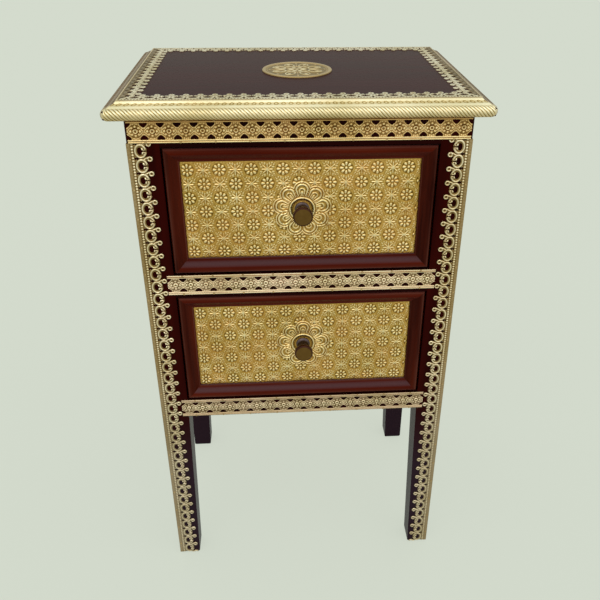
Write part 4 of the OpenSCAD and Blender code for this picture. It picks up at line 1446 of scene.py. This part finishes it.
# %% Knob bronze
# The neck's colours are painted sheen, and the rim's a painted dark reflection.
NECK_PAINTED_SHEEN = ((0.06, 0.04, 0.042, 1), (0.14, 0.105, 0.11, 1))
RIM_PAINTED_REFLECTION = ((0.03, 0.01, 0.008, 1), (0.09, 0.035, 0.025, 1))
FACE = ((0.12, 0.062, 0.014, 1), (0.19, 0.104, 0.028, 1))
knob_finish, knob_tree, knob_shader = new_material("knob bronze")
knob_place = add_node(knob_tree, "ShaderNodeTexCoord").outputs["Object"]
mottle = noise(knob_tree, knob_place, 120.0, 3.0)
knob_part = relief_value(knob_tree)
neck, rim, face = [mix_colour(knob_tree, mottle, *pair) for pair in (NECK_PAINTED_SHEEN, RIM_PAINTED_REFLECTION, FACE)]
bronze = mix_colour(knob_tree, mask(knob_tree, knob_part, 2.0, 0.0), neck, rim)
bronze = mix_colour(knob_tree, mask(knob_tree, knob_part, 2.0, -1.0), bronze, face)
feed(knob_tree, knob_shader.inputs["Base Color"], bronze)
knob_rough = maths(knob_tree, "MULTIPLY_ADD", mottle, 0.15, 0.28)
feed(knob_tree, knob_shader.inputs["Roughness"], knob_rough)
feed(knob_tree, knob_shader.inputs["Metallic"], 1.0)


# %% [markdown]
# The knobs are turned on a lathe. Blender's Screw modifier could spin an outline in the same way,
# but the points are needed for the relief, so the profile is carried once round the axis here.

# %% Knobs
KNOB_STEPS = 64
FACE_ROWS = 2
RIM_ROWS = 8
# The knob looks a little shorter and wider in the photograph than its CAD node.
SHORTER = 1.4
WIDER = 0.5


def knob_outline(out, wide):
    """(distance out from the panel, radius): a foot, a waist, a flare, a rim and a rounded face."""
    foot = [(0, 8.6), (0.5, 8.8), (1.2, 8.7), (1.8, 8.0), (2.6, 7.0), (4.0, 6.3), (6.5, 6.1), (9.0, 6.5)]
    flare = [(out - 10.5, 7.2), (out - 8.0, 8.6), (out - 6.4, 9.9)]
    rim = [(out - 5.4, wide - 0.2), (out - 4.6, wide), (out - 1.6, wide), (out - 0.9, wide - 0.15)]
    face = [(out - 0.35, wide - 0.6), (out - 0.05, wide - 1.3), (out, wide - 2.0), (out - 0.05, 4.0)]
    return np.array(foot + flare + rim + face)


def knob(level):
    """A turned knob: the outline's radius at each step round the axis, closed by one point in the face."""
    low, high = corners_mm(level + "_knob")
    out = high[1] - low[1] - SHORTER
    wide = (high[0] - low[0]) / 2 + WIDER
    centre = (low + high) / 2
    outline = knob_outline(out, wide)
    turn = np.linspace(0, 2 * np.pi, KNOB_STEPS + 1)[:-1]
    grid_y, grid_turn = np.meshgrid(outline[:, 0], turn, indexing="ij")
    grid_r = np.broadcast_to(outline[:, 1][:, None], grid_y.shape)
    x = centre[0] + grid_r * np.cos(grid_turn)
    z = centre[2] + grid_r * np.sin(grid_turn)
    tip = [[centre[0], high[1] - out, centre[2]]]
    points = np.concatenate([np.stack([x, high[1] - grid_y, z], -1).reshape(-1, 3), tip])
    rows = len(outline)
    index = np.arange(rows * KNOB_STEPS).reshape(rows, KNOB_STEPS)
    quads = hoop_quads(index)[:, [0, 3, 2, 1]]
    cap = np.stack([index[-1], np.roll(index[-1], -1), np.full(KNOB_STEPS, rows * KNOB_STEPS)], 1)
    row = np.arange(rows)
    part = np.where(row >= rows - FACE_ROWS, 1.0, np.where(row >= rows - RIM_ROWS, 0.5, 0.0))
    relief = np.concatenate([part.repeat(KNOB_STEPS), [1.0]])
    piece = add_mesh(level + "_turned_knob", points, [quads, cap, index[0][::-1][None, :]], relief, 40.0)
    return fit(piece, knob_finish, level + "_drawer", level + "_knob")


for level in ("upper", "lower"):
    knob(level)

# %% [markdown]
# The photograph has one pale grey-green tone all round, so the floor and the world share it.
# Light Path tells floor and world who is looking: the camera, reflections and glass see that tone, and all
# else gets white light. The floor keeps a share of its own shading, so that a soft shadow stays under
# the cabinet.

# %% Floor and world
PALE = (0.665, 0.716, 0.617, 1)
FLOOR_HALF = 12
WORLD_LIGHT = 0.62
SHADOW_LEFT = 0.18


def seen_by_eye(tree):
    """1 for camera, glossy and transmission rays, and 0 for the rays that carry light between surfaces."""
    ray = add_node(tree, "ShaderNodeLightPath").outputs
    seen = maths(tree, "MAXIMUM", ray["Is Camera Ray"], ray["Is Glossy Ray"])
    return maths(tree, "MAXIMUM", seen, ray["Is Transmission Ray"])


def mix_shaders(tree, factor, first, second, end):
    """Leads a mix of two shaders to the Surface of the node that ends the tree."""
    node = add_node(tree, "ShaderNodeMixShader")
    for socket, value in zip(node.inputs, (factor, first, second)):
        feed(tree, socket, value)
    feed(tree, tree.nodes[end].inputs["Surface"], node.outputs[0])


floor_mesh = bpy.data.meshes.new("floor")
floor_corners = [(x * FLOOR_HALF, y * FLOOR_HALF, 0) for x, y in ((-1, -1), (1, -1), (1, 1), (-1, 1))]
floor_mesh.from_pydata(floor_corners, [], [(0, 1, 2, 3)])
floor = bpy.data.objects.new("floor", floor_mesh)
bpy.context.collection.objects.link(floor)
floor_finish, floor_tree, floor_shader = new_material("floor")
for label, value in (("Base Color", PALE), ("Roughness", 0.9), ("Specular IOR Level", 0.0)):
    feed(floor_tree, floor_shader.inputs[label], value)
floor_glow = add_node(floor_tree, "ShaderNodeEmission", in_0=PALE, in_1=1.0)
floor_seen = maths(floor_tree, "MULTIPLY", seen_by_eye(floor_tree), 1 - SHADOW_LEFT)
mix_shaders(floor_tree, floor_seen, floor_shader.outputs[0], floor_glow.outputs[0], "Material Output")
floor_mesh.materials.append(floor_finish)

world = bpy.data.worlds.new("studio")
bpy.context.scene.world = world
world.use_nodes = True
sky_tree = world.node_tree
sky = sky_tree.nodes["Background"]
feed(sky_tree, sky.inputs["Color"], (1, 1, 1, 1))
feed(sky_tree, sky.inputs["Strength"], WORLD_LIGHT)
seen_sky = add_node(sky_tree, "ShaderNodeBackground", in_0=PALE, in_1=1.0)
mix_shaders(sky_tree, seen_by_eye(sky_tree), sky.outputs[0], seen_sky.outputs[0], "World Output")


# %% [markdown]
# Three suns make soft, even light: a very wide one overhead, a small key from the front left and a fill from
# the right. A sun doesn't fall off with distance, so the floor stays one tone out to its far edge.

# %% Lamps
def soft_sun(name, place, width, power):
    """A sun that shines from place towards the origin, as wide as an angle in degrees."""
    data = bpy.data.lights.new(name, "SUN")
    data.angle = np.radians(width)
    data.energy = power
    lamp = bpy.data.objects.new(name, data)
    back = np.array(place) / np.linalg.norm(place)
    side = np.cross([0, 0, 1], back)
    side = side / np.linalg.norm(side)
    lamp.matrix_world = place_matrix(side, np.cross(back, side), back, 3 * back)
    bpy.context.collection.objects.link(lamp)


soft_sun("overhead", (-0.1, -0.5, 1.0), 120, 0.65)
soft_sun("key", (-0.35, -0.8, 0.95), 40, 0.35)
soft_sun("fill", (0.8, -0.7, 0.6), 60, 0.3)
bpy.context.scene.view_settings.view_transform = "Standard"
